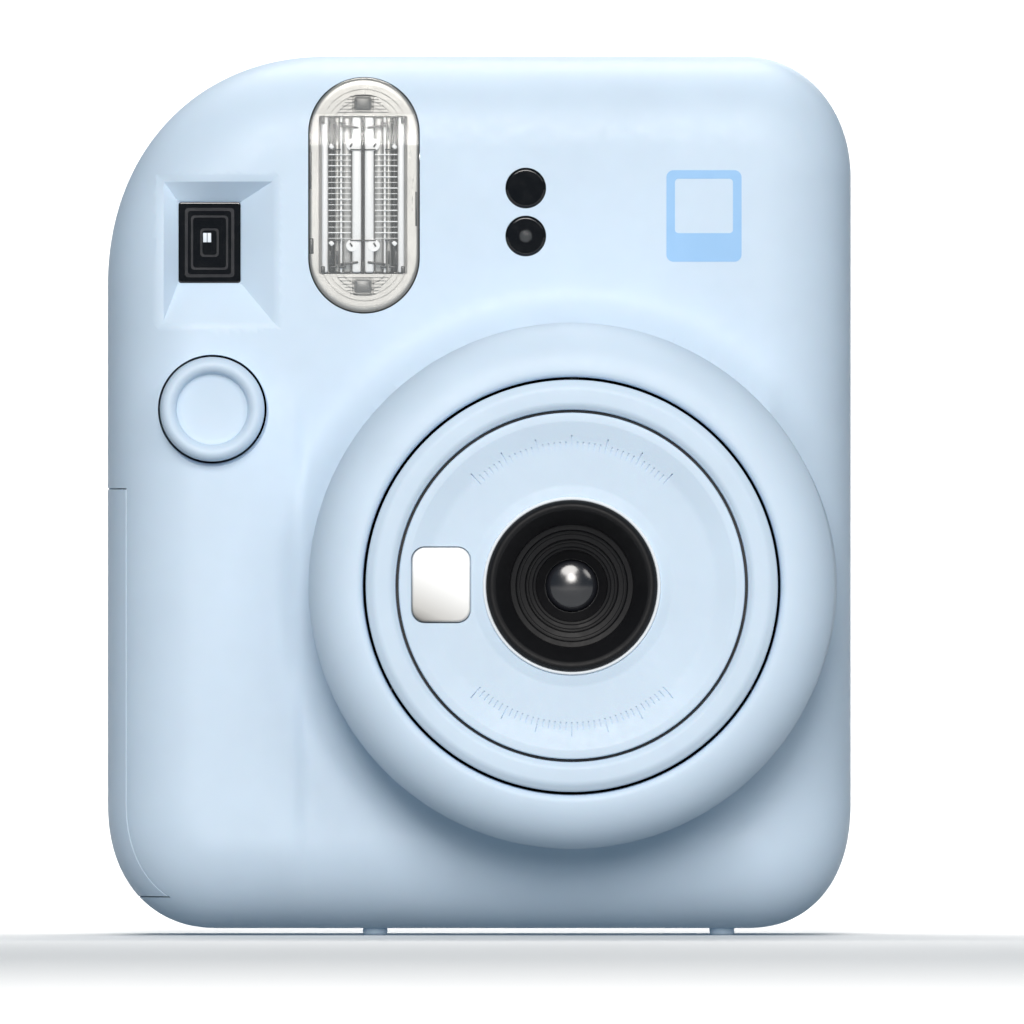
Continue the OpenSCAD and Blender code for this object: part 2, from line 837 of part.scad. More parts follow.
module roller_bores(x) {
    for (yz = [drive_yz, pressure_yz])
        translate([x - 1, yz[0], yz[1]]) rotate([0, 90, 0]) cylinder(r = 1.2 + run_gap, h = 4);
}

module gear_bracket() {
    color(metal) {
        difference() {
            block([42.9, 5, 98], [43.9, 24, 112]);
            roller_bores(42.9);
        }
        difference() {
            block([42.9, 0, 83], [43.9, 24, 98]);
            translate([42, motor_yz[0], motor_yz[1]]) rotate([0, 90, 0]) cylinder(r = 2, h = 4);
        }
        translate([43.8, idler_yz[0], idler_yz[1]]) rotate([0, 90, 0]) cylinder(r = 1, h = 4.2);
    }
}

module roller_bracket() {
    color(metal) difference() {
        block([chamber_x[0] - thin, 5, 99.2], [chamber_x[0] - 0.1, 24, 112]);
        roller_bores(chamber_x[0] - thin);
    }
}

module drive_gear() {
    color("white") gear(drive_yz, roller_teeth, gear_x, 2 * gear_layer + 0.3, 1.2, drive_phase);
}

module pressure_gear() {
    color("white") gear(pressure_yz, roller_teeth, gear_x, gear_layer, 1.2, 180 / roller_teeth);
}

module idler_gear() {
    color("white")
        gear(idler_yz, idler_teeth, gear_x + gear_layer + 0.3, gear_layer, 1 + run_gap, idler_phase);
}

module motor() {
    color(metal) translate([18, motor_yz[0], motor_yz[1]]) rotate([0, 90, 0]) cylinder(r = motor_r, h = 24.9);
}

module motor_pinion() {
    color("white") union() {
        gear(motor_yz, pinion_teeth, gear_x + gear_layer + 0.3, gear_layer, 0.6, pinion_phase);
        translate([42.95, motor_yz[0], motor_yz[1]]) rotate([0, 90, 0]) cylinder(r = 0.6, h = 4.8);
    }
}

module film_pick_arm() {
    color(metal) {
        block([-18.4, 18, 30], [-17.4, 22, 70]);
        block([-18.4, 22, 30], [-17.4, 24.5, 33]);
    }
}

strap_x = [-46.1, 48.9];

module strap_bars() {
    color(dark) for (x = strap_x) {
        translate([x, strap_y, strap_z - 5.4]) cylinder(r = 0.9, h = 10.8);
        for (z = [-6, 5.2])
            block([x - 0.9, strap_y - 4.4, strap_z + z], [x + 0.9, strap_y + 4.4, strap_z + z + 0.8]);
    }
}

foot_places = [[-14.6, 1.5], [34, 1.5], [-14.6, 19.5], [34, 19.5]];

module feet() {
    color(case_color) for (p = foot_places) translate([p[0], p[1], 0]) pill(6, 1.7, foot_h);
}

module case_screws() {
    color(metal) for (p = screw_places) facing(p[0], p[1]) {
        translate([0, 0, -screw_head_y - 0.01]) cylinder(r = screw_r, h = 14);
        translate([0, 0, -screw_head_y - 1.2]) cylinder(r = 2, h = 1.2);
    }
}

front_cover();
rear_cover();
film_door();
door_hinge_pins();
door_latch();
door_latch_spring();
film_window();
counter_window();
counter_wheel();
film_pressure_springs();
battery_cover();
battery_cover_pin();
battery_box();
battery_cells();
battery_springs();
battery_contacts();
lens_dome();
cam_ring();
lens_barrel();
cam_pins();
lens_face();
selfie_mirror();
lens_cone();
front_lens();
rear_lens();
shutter_plate();
shutter_blade_left();
shutter_blade_right();
shutter_solenoid();
guide_tube();
light_cone();
film_chamber();
flash_lens();
flash_reflector();
flash_tube();
flash_capacitor();
flash_board();
viewfinder_window();
viewfinder_tunnel();
viewfinder_eyepiece();
exposure_sensor_window();
flash_sensor_window();
sensor_board();
shutter_button();
button_spring();
shutter_switch();
main_board();
drive_roller();
pressure_roller();
gear_bracket();
roller_bracket();
drive_gear();
pressure_gear();
idler_gear();
motor();
motor_pinion();
film_pick_arm();
strap_bars();
feet();
case_screws();
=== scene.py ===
"""Instant camera: the visible shells, lens, flash and controls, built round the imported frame."""
import json
import logging
import math
from dataclasses import dataclass
from enum import Enum
from typing import Sequence

import bmesh
import bpy
from mathutils import Matrix, Vector


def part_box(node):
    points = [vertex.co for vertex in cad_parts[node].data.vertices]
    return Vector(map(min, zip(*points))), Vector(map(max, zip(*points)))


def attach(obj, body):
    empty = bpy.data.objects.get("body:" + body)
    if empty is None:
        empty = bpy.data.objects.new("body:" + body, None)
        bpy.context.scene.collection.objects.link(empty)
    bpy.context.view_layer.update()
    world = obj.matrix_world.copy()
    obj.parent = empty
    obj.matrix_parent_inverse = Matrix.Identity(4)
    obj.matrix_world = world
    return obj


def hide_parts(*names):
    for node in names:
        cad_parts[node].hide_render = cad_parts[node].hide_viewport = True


MM = 0.001
LOG = logging.getLogger("instant_camera")
Path = list[Vector]


class Side(Enum):
    """Which way a boolean keeps material."""

    CUT = "DIFFERENCE"
    KEEP = "INTERSECT"
    JOIN = "UNION"


# ---------------------------------------------------------------- finishes


class NodeSheet:
    """A material's node tree with short calls to add and join nodes."""

    def __init__(self, name: str) -> None:
        """Starts an empty material.

        Args:
            name: Name of the new material.
        """
        self.material = bpy.data.materials.new(name)
        self.material.use_nodes = True
        self.tree = self.material.node_tree
        self.tree.nodes.clear()
        self.output = self.tree.nodes.new("ShaderNodeOutputMaterial")
        self.place = self.tree.nodes.new("ShaderNodeTexCoord")

    def add(self, kind: str, **settings: object) -> bpy.types.Node:
        """Adds a node and sets its properties and inputs by name.

        Args:
            kind: Node type.
            settings: Properties, or inputs with their spaces written as underscores.

        Returns:
            The new node.
        """
        node = self.tree.nodes.new(kind)
        for key, value in settings.items():
            label = key.replace("_", " ")
            if hasattr(node, key):
                setattr(node, key, value)
            elif label in node.inputs:
                node.inputs[label].default_value = value
            else:
                raise KeyError(f"{kind} has no {key}")
        return node

    def join(self, out: bpy.types.NodeSocket, into: bpy.types.NodeSocket) -> None:
        """Links one socket to another."""
        self.tree.links.new(out, into)

    def noise(
        self, scale: float, detail: float, stretch: tuple[float, float, float] = (1, 1, 1)
    ) -> bpy.types.NodeSocket:
        """Noise on object coordinates.

        Args:
            scale: Features per metre.
            detail: Octaves of detail.
            stretch: Scale along each axis.

        Returns:
            The noise factor's socket.
        """
        mapping = self.add("ShaderNodeMapping")
        mapping.inputs["Scale"].default_value = stretch
        self.join(self.place.outputs["Object"], mapping.inputs["Vector"])
        noise = self.add("ShaderNodeTexNoise", Scale=scale, Detail=detail, Roughness=0.6)
        self.join(mapping.outputs["Vector"], noise.inputs["Vector"])
        return noise.outputs["Fac"]

    def ramp(
        self, source: bpy.types.NodeSocket, stops: Sequence[tuple[float, tuple]]
    ) -> bpy.types.NodeSocket:
        """Colour ramp over a factor.

        Args:
            source: Socket that drives the ramp.
            stops: Position and colour of each stop.

        Returns:
            The ramp's colour socket.
        """
        ramp = self.add("ShaderNodeValToRGB")
        while len(ramp.color_ramp.elements) < len(stops):
            ramp.color_ramp.elements.new(0.5)
        for element, (position, colour) in zip(ramp.color_ramp.elements, stops):
            element.position = position
            element.color = (*colour, 1.0)
        self.join(source, ramp.inputs["Fac"])
        return ramp.outputs["Color"]

    def spread(self, source: bpy.types.NodeSocket, low: float, high: float) -> bpy.types.NodeSocket:
        """Maps a factor onto a range.

        Args:
            source: Socket that gives 0 to 1.
            low: Result at 0.3.
            high: Result at 0.7.

        Returns:
            The mapped value's socket.
        """
        mapped = self.add("ShaderNodeMapRange", From_Min=0.3, From_Max=0.7, To_Min=low, To_Max=high)
        self.join(source, mapped.inputs["Value"])
        return mapped.outputs["Result"]

    def bump(self, source: bpy.types.NodeSocket, strength: float, depth: float) -> bpy.types.NodeSocket:
        """Bump from a height.

        Args:
            source: Height socket.
            strength: Strength of the bump.
            depth: Depth of the relief in metres.

        Returns:
            The normal socket.
        """
        node = self.add("ShaderNodeBump", Strength=strength, Distance=depth)
        self.join(source, node.inputs["Height"])
        return node.outputs["Normal"]

    def shader(self, **settings: object) -> bpy.types.Node:
        """Adds the main shader and joins it to the output."""
        node = self.add("ShaderNodeBsdfPrincipled", **settings)
        self.join(node.outputs["BSDF"], self.output.inputs["Surface"])
        return node


def tint(colour: Sequence[float], gain: float) -> tuple[float, float, float]:
    """Brightens or darkens a colour."""
    return tuple(min(1.0, c * gain) for c in colour)


@dataclass(frozen=True)
class Finish:
    """A surface finish with fine grain, slow colour drift and uneven gloss."""

    name: str
    slot: str
    colour: tuple[float, float, float]
    roughness: float = 0.4
    metallic: float = 0.0
    grain: float = 9000.0
    grain_depth: float = 0.000012
    drift: float = 0.03
    uneven: float = 0.06
    ior: float = 1.5
    subsurface: float = 0.0
    alpha: float = 1.0
    stretch: tuple[float, float, float] = (1, 1, 1)

    def build(self) -> bpy.types.Material:
        """Makes the material.

        Returns:
            The finished material.
        """
        sheet = NodeSheet(self.name)
        shader = sheet.shader(
            Metallic=self.metallic, IOR=self.ior, Subsurface_Weight=self.subsurface,
            Subsurface_Scale=0.002, Alpha=self.alpha,
        )
        slow = sheet.noise(60.0, 3.0)
        colours = [(0.3, tint(self.colour, 1 - self.drift)), (0.7, tint(self.colour, 1 + self.drift))]
        sheet.join(sheet.ramp(slow, colours), shader.inputs["Base Color"])
        patches = sheet.noise(700.0, 5.0, self.stretch)
        low = max(0.01, self.roughness - self.uneven)
        sheet.join(sheet.spread(patches, low, self.roughness + self.uneven), shader.inputs["Roughness"])
        fine = sheet.noise(self.grain, 2.0, self.stretch)
        sheet.join(sheet.bump(fine, 0.35, self.grain_depth), shader.inputs["Normal"])
        return sheet.material


@dataclass(frozen=True)
class SilveringWithPaintedReflection(Finish):
    """Silvering with a painted reflection: bright, darkening towards one lower corner."""

    across: float = 0.45
    up: float = 0.9
    centre_across: float = -0.0053
    centre_up: float = 0.0491
    half_span: float = 0.0062

    def build(self) -> bpy.types.Material:
        """Makes the material.

        Returns:
            The finished material.
        """
        sheet = NodeSheet(self.name)
        shader = sheet.shader(Metallic=self.metallic, Roughness=self.roughness)
        offset = sheet.add("ShaderNodeVectorMath", operation="SUBTRACT")
        offset.inputs[1].default_value = (self.centre_across, 0.0, self.centre_up)
        sheet.join(sheet.place.outputs["Object"], offset.inputs[0])
        slope = sheet.add("ShaderNodeVectorMath", operation="DOT_PRODUCT")
        slope.inputs[1].default_value = (self.across, 0.0, self.up)
        sheet.join(offset.outputs["Vector"], slope.inputs[0])
        span = sheet.add("ShaderNodeMapRange", From_Min=-self.half_span, From_Max=self.half_span)
        sheet.join(slope.outputs["Value"], span.inputs["Value"])
        # Painted reflection: the base colour runs from near black at one lower corner to white, standing for the
        # studio seen in the mirror.
        painted_reflection_shades = [
            (0.0, (0.12, 0.11, 0.1)), (0.16, (0.5, 0.49, 0.47)), (0.5, (0.85, 0.85, 0.84)),
            (0.8, (0.98, 0.98, 0.98))
        ]
        sheet.join(sheet.ramp(span.outputs["Result"], painted_reflection_shades), shader.inputs["Base Color"])
        fine = sheet.noise(self.grain, 2.0)
        sheet.join(sheet.bump(fine, 0.2, 0.000001), shader.inputs["Normal"])
        return sheet.material


CASE = Finish(
    "case_satin_blue", "case_plastic", (0.63, 0.755, 0.885), 0.5, subsurface=0.05, grain_depth=0.000007
)
BLACK = Finish("black_matte", "black_plastic", (0.006, 0.006, 0.007), 0.5, drift=0.2, ior=1.3)
GLOSS = Finish(
    "black_gloss", "dark_gloss", (0.003, 0.003, 0.004), 0.06, drift=0.2, uneven=0.02, grain_depth=0.0
)
SMOKE = Finish(
    "smoked_gloss", "dark_gloss", (0.02, 0.02, 0.023), 0.12, drift=0.2, uneven=0.02, grain_depth=0.0
)
CHAMBER = Finish("chamber_black", "seal_dark", (0.02, 0.02, 0.022), 0.6, drift=0.2)
STEEL = Finish("steel_drawn", "steel", (0.55, 0.56, 0.58), 0.3, 1.0, stretch=(1, 1, 8))
CHROME = Finish(
    "chrome_plate", "chrome_bright", (0.84, 0.85, 0.87), 0.12, 1.0, uneven=0.03, grain_depth=0.000002
)
# The mirror's colour is a painted reflection gradient.
MIRROR_PAINTED_REFLECTION = SilveringWithPaintedReflection(
    "mirror_skin", "mirror_skin", (0.9, 0.91, 0.92), 0.34, 0.12, uneven=0.02, grain_depth=0.0
)
GLASS = Finish(
    "coated_glass", "lens_glass", (0.012, 0.013, 0.017), 0.16, ior=1.7, uneven=0.01, grain_depth=0.0,
)
CLEAR = Finish(
    "clear_moulded", "clear_plastic", (0.9, 0.92, 0.92), 0.05, ior=2.0, alpha=0.07, uneven=0.02,
    grain_depth=0.0
)
ACETAL = Finish("white_acetal", "white_plastic", (0.78, 0.78, 0.75), 0.42)
MASK = Finish("solder_mask", "board_green", (0.02, 0.13, 0.06), 0.35, drift=0.15)
COPPER = Finish("copper_winding", "copper_wind", (0.5, 0.22, 0.08), 0.35, 0.8, stretch=(1, 8, 1))
SLEEVE = Finish("cell_sleeve", "cell_wrap", (0.09, 0.17, 0.34), 0.28)
RUBBER = Finish("ground_rubber", "roller_rubber", (0.02, 0.02, 0.021), 0.75, grain_depth=0.00003)
SILVER = Finish(
    "silver_paint", "chrome_bright", (0.4, 0.395, 0.375), 0.32, 0.5, drift=0.12, stretch=(1, 1, 0.15)
)
# White painted highlight: stands for the bright reflections on the flash's chrome reflector.
FLASH_PAINTED_HIGHLIGHT = Finish("flash_painted_highlight", "chrome_bright", (0.98, 0.98, 0.97), 0.3, drift=0.02, stretch=(1, 1, 0.1))
DULL = Finish("flash_grey", "chrome_bright", (0.4, 0.4, 0.39), 0.3, 0.2, drift=0.25, stretch=(1, 1, 0.1))
# Near-black painted shade for the dark bands between the reflector's folds and in its corners.
SHADE = Finish("flash_shade", "dark_gloss", (0.012, 0.012, 0.012), 0.3, drift=0.5, stretch=(1, 1, 0.1))
# Dark grey painted shade for the stepped pads beyond the tube ends.
SHADE_PAD = Finish("flash_pad", "dark_gloss", (0.14, 0.14, 0.135), 0.35, 0.3, drift=0.3, stretch=(0.1, 1, 1))
PRINT = Finish("print_blue", "case_plastic", (0.3, 0.55, 0.86), 0.42)
# Pale painted light: the finder's light spot and the highlight round the cone.
PALE_PAINTED_LIGHT = Finish("pale_painted_light", "white_plastic", (0.84, 0.89, 0.94), 0.5)
NODE_FINISHES = (
    BLACK, GLOSS, CHAMBER, STEEL, CHROME, MIRROR_PAINTED_REFLECTION, GLASS, CLEAR, ACETAL, MASK, COPPER, SLEEVE, RUBBER, CASE
)


class Paintbox:
    """Builds each finish once and hands it out."""

    def __init__(self) -> None:
        """Starts with no materials made."""
        self.made: dict[str, bpy.types.Material] = {}

    def get(self, finish: Finish) -> bpy.types.Material:
        """The material of a finish.

        Args:
            finish: The finish wanted.

        Returns:
            Its material, made on first use.
        """
        if finish.name not in self.made:
            self.made[finish.name] = finish.build()
        return self.made[finish.name]


PAINT = Paintbox()


# ---------------------------------------------------------------- shape tools


def place(node: str) -> tuple[Vector, Vector]:
    """Lowest and highest corner of a CAD node, in millimetres."""
    low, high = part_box(node)
    return low / MM, high / MM


def middle(node: str) -> Vector:
    """Centre of a CAD node's box, in millimetres."""
    low, high = place(node)
    return (low + high) / 2


def rounded_path(corners: Sequence[tuple[float, float, float]], steps: int = 5, loop: bool = False) -> Path:
    """Replaces the corners of a line by arcs.

    Args:
        corners: Each corner's two coordinates and its radius.
        steps: Pieces in each arc.
        loop: True if the last corner joins the first.

    Returns:
        The points of the rounded line.
    """
    points: Path = []
    count = len(corners)
    for index, (across, along, radius) in enumerate(corners):
        here = Vector((across, along))
        if radius <= 0 or (not loop and index in (0, count - 1)):
            points.append(here)
            continue
        before = (Vector(corners[index - 1][:2]) - here).normalized()
        after = (Vector(corners[(index + 1) % count][:2]) - here).normalized()
        half = before.angle(after) / 2
        centre = here + (before + after).normalized() * (radius / math.sin(half))
        start = here + before * (radius / math.tan(half)) - centre
        end = here + after * (radius / math.tan(half)) - centre
        turn = start.angle_signed(end)
        for step in range(steps + 1):
            points.append(centre + Matrix.Rotation(-turn * step / steps, 2) @ start)
    return points


def lathe(
    profile: Sequence[Sequence[float]], centre: Vector, steps: int = 192, loop: bool = True
) -> bmesh.types.BMesh:
    """Spins a profile about an axis that looks out of the front.

    Args:
        profile: Points as radius and distance forward.
        centre: A point on the axis.
        steps: Segments in the full turn.
        loop: True if the profile closes on itself.

    Returns:
        The closed solid, in millimetres.
    """
    bm = bmesh.new()
    verts = [bm.verts.new((centre.x + p[0], -p[1], centre.z)) for p in profile]
    edges = [bm.edges.new(pair) for pair in zip(verts, verts[1:])]
    if loop:
        edges.append(bm.edges.new((verts[-1], verts[0])))
    bmesh.ops.spin(
        bm, geom=verts + edges, cent=centre, axis=(0, 1, 0), dvec=(0, 0, 0), angle=math.tau,
        steps=steps, use_merge=True, use_normal_flip=False, use_duplicate=False,
    )
    bmesh.ops.remove_doubles(bm, verts=bm.verts, dist=0.0005)
    bmesh.ops.recalc_face_normals(bm, faces=bm.faces)
    return bm


def slab(
    outline: Path, centre: Vector, back: float, front: float, rim: float = 0.0
) -> bmesh.types.BMesh:
    """A plate of any outline, seen from the front.

    Args:
        outline: Points across and up, about the centre.
        centre: Where the outline's own centre goes.
        back: Distance forward of the rear face.
        front: Distance forward of the front face.
        rim: Rounding of the front edge.

    Returns:
        The closed solid, in millimetres.
    """
    reach = min(p.length for p in outline)
    levels = [(1.0, back)]
    for step in range(5 if rim > 0 else 1):
        angle = math.pi / 2 * step / 4
        levels.append((1 - rim * (1 - math.cos(angle)) / reach, front - rim * (1 - math.sin(angle))))
    edge = levels[-1][0]
    if rim > 0:
        levels.append((edge - 0.02, front))
    return loft(
        [
            [Vector((centre.x + p.x * size, -h, centre.z + p.y * size)) for p in outline]
            for size, h in levels
        ]
    )


def box(
    low: Sequence[float], high: Sequence[float], rim: float = 0.0, segments: int = 3
) -> bmesh.types.BMesh:
    """A block between two corners, in millimetres, with rounded edges if rim is given."""
    bm = bmesh.new()
    bmesh.ops.create_cube(bm, size=1.0)
    low, high = Vector(low), Vector(high)
    bmesh.ops.scale(bm, verts=bm.verts, vec=high - low)
    bmesh.ops.translate(bm, verts=bm.verts, vec=(low + high) / 2)
    if rim > 0:
        bmesh.ops.bevel(
            bm, geom=bm.edges[:], offset=rim, segments=segments, profile=0.5, affect="EDGES", material=-1
        )
    return bm


def rod(base: Vector, axis: str, radius: float, length: float, segments: int = 48) -> bmesh.types.BMesh:
    """A round bar from a point along X, Y or Z.

    Args:
        base: Centre of the first end.
        axis: "X", "Y" or "Z".
        radius: Radius.
        length: Length along the axis.
        segments: Sides.

    Returns:
        The closed solid, in millimetres.
    """
    bm = bmesh.new()
    bmesh.ops.create_cone(
        bm, cap_ends=True, segments=segments, radius1=radius, radius2=radius, depth=length
    )
    bmesh.ops.translate(bm, verts=bm.verts, vec=(0, 0, length / 2))
    turn = {
        "X": Matrix.Rotation(math.pi / 2, 3, "Y"), "Y": Matrix.Rotation(-math.pi / 2, 3, "X"),
        "Z": Matrix.Identity(3)
    }
    bmesh.ops.rotate(bm, verts=bm.verts, cent=(0, 0, 0), matrix=turn[axis])
    bmesh.ops.translate(bm, verts=bm.verts, vec=base)
    return bm


def pill_outline(length: float, radius: float, steps: int = 40) -> Path:
    """Outline of an upright plate with round ends."""
    half = length / 2 - radius
    top = [
        Vector((radius * math.cos(math.pi * k / steps), half + radius * math.sin(math.pi * k / steps)))
        for k in range(steps + 1)
    ]
    return top + [-p for p in top]


def plate_outline(width: float, height: float, radius: float, steps: int = 10) -> Path:
    """Outline of a rectangle with round corners."""
    w, h = width / 2, height / 2
    corners = [(w, -h, radius), (w, h, radius), (-w, h, radius), (-w, -h, radius)]
    return rounded_path(corners, steps, loop=True)


def merged(parts: Sequence[bmesh.types.BMesh]) -> bmesh.types.BMesh:
    """Puts several meshes into the first one and frees the rest."""
    first = parts[0]
    for part in parts[1:]:
        mesh = bpy.data.meshes.new("part")
        part.to_mesh(mesh)
        first.from_mesh(mesh)
        bpy.data.meshes.remove(mesh)
        part.free()
    return first


def solid(bm: bmesh.types.BMesh, name: str) -> bpy.types.Object:
    """Turns a mesh in millimetres into an object in metres."""
    bmesh.ops.scale(bm, verts=bm.verts, vec=(MM, MM, MM))
    mesh = bpy.data.meshes.new(name)
    bm.to_mesh(mesh)
    bm.free()
    obj = bpy.data.objects.new(name, mesh)
    bpy.context.scene.collection.objects.link(obj)
    return obj


def carve(target: bpy.types.Object, tool: bpy.types.Object, side: Side, solver: str = "MANIFOLD") -> None:
    """Cuts, keeps or joins one solid with another and bakes the result.

    Args:
        target: The solid that changes.
        tool: The other solid.
        side: What the boolean keeps.
        solver: Boolean solver.
    """
    modifier = target.modifiers.new("carve", "BOOLEAN")
    modifier.operation = side.value
    modifier.solver = solver
    modifier.object = tool
    graph = bpy.context.evaluated_depsgraph_get()
    mesh = bpy.data.meshes.new_from_object(target.evaluated_get(graph))
    target.modifiers.clear()
    old = target.data
    target.data = mesh
    bpy.data.meshes.remove(old)


def copy_of(obj: bpy.types.Object, name: str) -> bpy.types.Object:
    """A separate copy of an object and its mesh."""
    twin = obj.copy()
    twin.data = obj.data.copy()
    twin.name = name
    bpy.context.scene.collection.objects.link(twin)
    return twin


def discard(*objects: bpy.types.Object) -> None:
    """Removes scratch solids."""
    for obj in objects:
        mesh = obj.data
        bpy.data.objects.remove(obj)
        bpy.data.meshes.remove(mesh)


@dataclass(frozen=True)
class Dress:
    """What a finished piece is: its body, its finish and the CAD nodes it stands for."""

    body: str
    finish: Finish
    nodes: tuple[str, ...] = ()
    sharp: float = 32.0

    def put_on(self, obj: bpy.types.Object) -> bpy.types.Object:
        """Shades, paints and attaches a piece.

        Args:
            obj: The piece, in metres.

        Returns:
            The same piece.
        """
        mesh = obj.data
        mesh.name = obj.name
        mesh.materials.clear()
        mesh.materials.append(PAINT.get(self.finish))
        mesh.polygons.foreach_set("material_index", [0] * len(mesh.polygons))
        mesh.polygons.foreach_set("use_smooth", [True] * len(mesh.polygons))
        mesh.set_sharp_from_angle(angle=math.radians(self.sharp))
        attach(obj, self.body)
        if self.nodes:
            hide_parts(*self.nodes)
        return obj


def piece(bm: bmesh.types.BMesh, name: str, dress: Dress) -> bpy.types.Object:
    """Makes a finished piece from a mesh in millimetres.

    Args:
        bm: The mesh, which is used up.
        name: Name of the piece.
        dress: Its body, finish and CAD nodes.

    Returns:
        The piece.
    """
    obj = dress.put_on(solid(bm, name))
    LOG.info("%s: %d faces on %s", name, len(obj.data.polygons), dress.body)
    return obj


# ---------------------------------------------------------------- case


SPREAD = (-1, 1, -1, 1)


@dataclass(frozen=True)
class Corner:
    """One corner of the case seen from the front."""

    side_x: int
    side_z: int
    across: float
    up: float
    roundness: float


@dataclass
class CaseForm:
    """The outer form of the case, all sizes in millimetres."""

    front: float = 12.5
    front_round: float = 11.5
    rear_round: float = 8.0
    wall: float = 2.0
    corner_steps: int = 80
    side_steps: int = 60
    fill_rings: int = 46
    hub_radius: float = 20.0
    collar_radius: float = 36.4
    collar_front: float = 15.5
    flare_width: float = 5.6
    flare_rise: float = 2.9
    side_reach: float = 12.5
    grip_lift: float = 0.5
    grip_edge: float = -25.1
    grip_soft: float = 0.6
    grip_top: float = 74.5
    grip_fade: float = 7.0

    def __post_init__(self) -> None:
        """Reads the case's box and the lens axis from the frame."""
        low, high = place("front_cover")
        self.low_z, self.high_z = low.z, high.z
        self.half_w = (high.x - low.x) / 2
        self.rear = place("rear_cover")[1].y
        self.lens = middle("lens_dome")
        self.corners = (
            Corner(1, 1, 14.8, 17.0, 2.05), Corner(-1, 1, 31.0, 32.5, 2.15),
            Corner(-1, -1, 15.5, 17.8, 2.25), Corner(1, -1, 14.8, 17.9, 2.3),
        )

    def corner_point(self, corner: Corner, turn: float, inset: float) -> Vector:
        """A point on one rounded corner.

        Args:
            corner: The corner.
            turn: 0 on the side, 1 on the top or bottom.
            inset: Distance inwards from the outline.

        Returns:
            The point, across and up.
        """
        angle = math.pi / 2 * turn
        power = 2 / corner.roundness
        edge_z = self.high_z if corner.side_z > 0 else self.low_z
        across = (corner.across - inset) * max(0.0, math.cos(angle)) ** power
        up = (corner.up - inset) * max(0.0, math.sin(angle)) ** power
        return Vector((
            corner.side_x * (self.half_w - corner.across + across),
            edge_z - corner.side_z * (corner.up - up),
        ))

    def outline(self, inset: float) -> Path:
        """The case's outline, moved inwards.

        Args:
            inset: Distance inwards.

        Returns:
            The points, anticlockwise seen from the front.
        """
        points: Path = []
        for index, corner in enumerate(self.corners):
            following = self.corners[(index + 1) % 4]
            rising = index % 2 == 0
            turns = [k / self.corner_steps for k in range(self.corner_steps + 1)]
            points += [self.corner_point(corner, t if rising else 1 - t, inset) for t in turns]
            start = points[-1]
            end = self.corner_point(following, 1.0 if rising else 0.0, inset)
            points += [start.lerp(end, k / self.side_steps) for k in range(1, self.side_steps)]
        return points

    def inset_at(self, x: float, z: float) -> float:
        """Distance inwards from the outline at a point of the front.

        Args:
            x: Across.
            z: Up.

        Returns:
            The inset, no deeper than the front rounding.
        """
        side_x = 1 if x > 0 else -1
        side_z = 1 if z > (self.low_z + self.high_z) / 2 else -1
        corner = next(c for c in self.corners if (c.side_x, c.side_z) == (side_x, side_z))
        edge_x = self.half_w - abs(x)
        edge_z = self.high_z - z if side_z > 0 else z - self.low_z
        across, up = corner.across - edge_x, corner.up - edge_z
        low, high = 0.0, min(self.side_reach, edge_x, edge_z)
        if across <= 0 or up <= 0:
            return high
        for _ in range(24):
            trial = (low + high) / 2
            share = (
                across / (corner.across - trial)
            ) ** corner.roundness + (up / (corner.up - trial)) ** corner.roundness
            low, high = (trial, high) if share < 1 else (low, trial)
        return low

    def surface(self, x: float, z: float) -> float:
        """How far forward the front stands at a point, found from the point alone."""
        return self.front_height(x, z, self.inset_at(x, z))

    def front_height(self, x: float, z: float, inset: float) -> float:
        """How far forward the front stands at a point.

        Args:
            x: Across.
            z: Up.
            inset: Distance inwards from the outline.

        Returns:
            Distance forward.
        """
        reach = max(0.0, 1 - inset / self.side_reach)
        base = self.front - self.front_round * (1 - math.sqrt(1 - reach ** 2))
        side = 1 / (1 + math.exp((x - self.grip_edge) / (self.grip_soft / 2)))
        fade = 1 / (1 + math.exp((z - self.grip_top) / (self.grip_fade / 4)))
        body = base + self.grip_lift * side * fade * min(1.0, inset / self.front_round)
        spread = math.hypot(x - self.lens.x, z - self.lens.z) - self.collar_radius
        share = min(1.0, max(0.0, spread / self.flare_width))
        fade = min(1.0, inset / self.front_round)
        return body + self.flare_rise * (1 - share) ** 2 * fade * fade

    def rings(self) -> list[Path]:
        """Rings from the rear face, round the sides and over the front.

        Returns:
            Each ring's points in space.
        """
        rings: list[Path] = []
        for step in range(13):
            angle = math.pi / 2 * step / 12
            inset = self.rear_round * (1 - math.sin(angle))
            y = self.rear - self.rear_round * (1 - math.cos(angle))
            rings.append([Vector((p.x, y, p.y)) for p in self.outline(inset)])
        for step in range(19):
            angle = math.pi / 2 * (1 - step / 18)
            inset = self.side_reach * (1 - math.sin(angle))
            rings.append([self.lift(p, inset) for p in self.outline(inset)])
        edge = self.outline(14.2)
        hub = [
            self.lens.xz + Vector((p.x - self.lens.x, p.y - self.lens.z)).normalized() * self.hub_radius
            for p in edge
        ]
        outer = self.outline(self.side_reach)
        rings += [[self.lift(a.lerp(b, k / 4), 99.0) for a, b in zip(outer, edge)] for k in range(1, 4)]
        for step in range(self.fill_rings + 1):
            share = step / self.fill_rings
            rings.append([self.lift(a.lerp(b, share), 99.0) for a, b in zip(edge, hub)])
        return rings

    def lift(self, point: Vector, inset: float) -> Vector:
        """A front point in space from its place across and up."""
        return Vector((point.x, -self.front_height(point.x, point.y, inset), point.y))

    def outer(self) -> bpy.types.Object:
        """The case as one full solid."""
        return solid(loft(self.rings()), "case_outer")

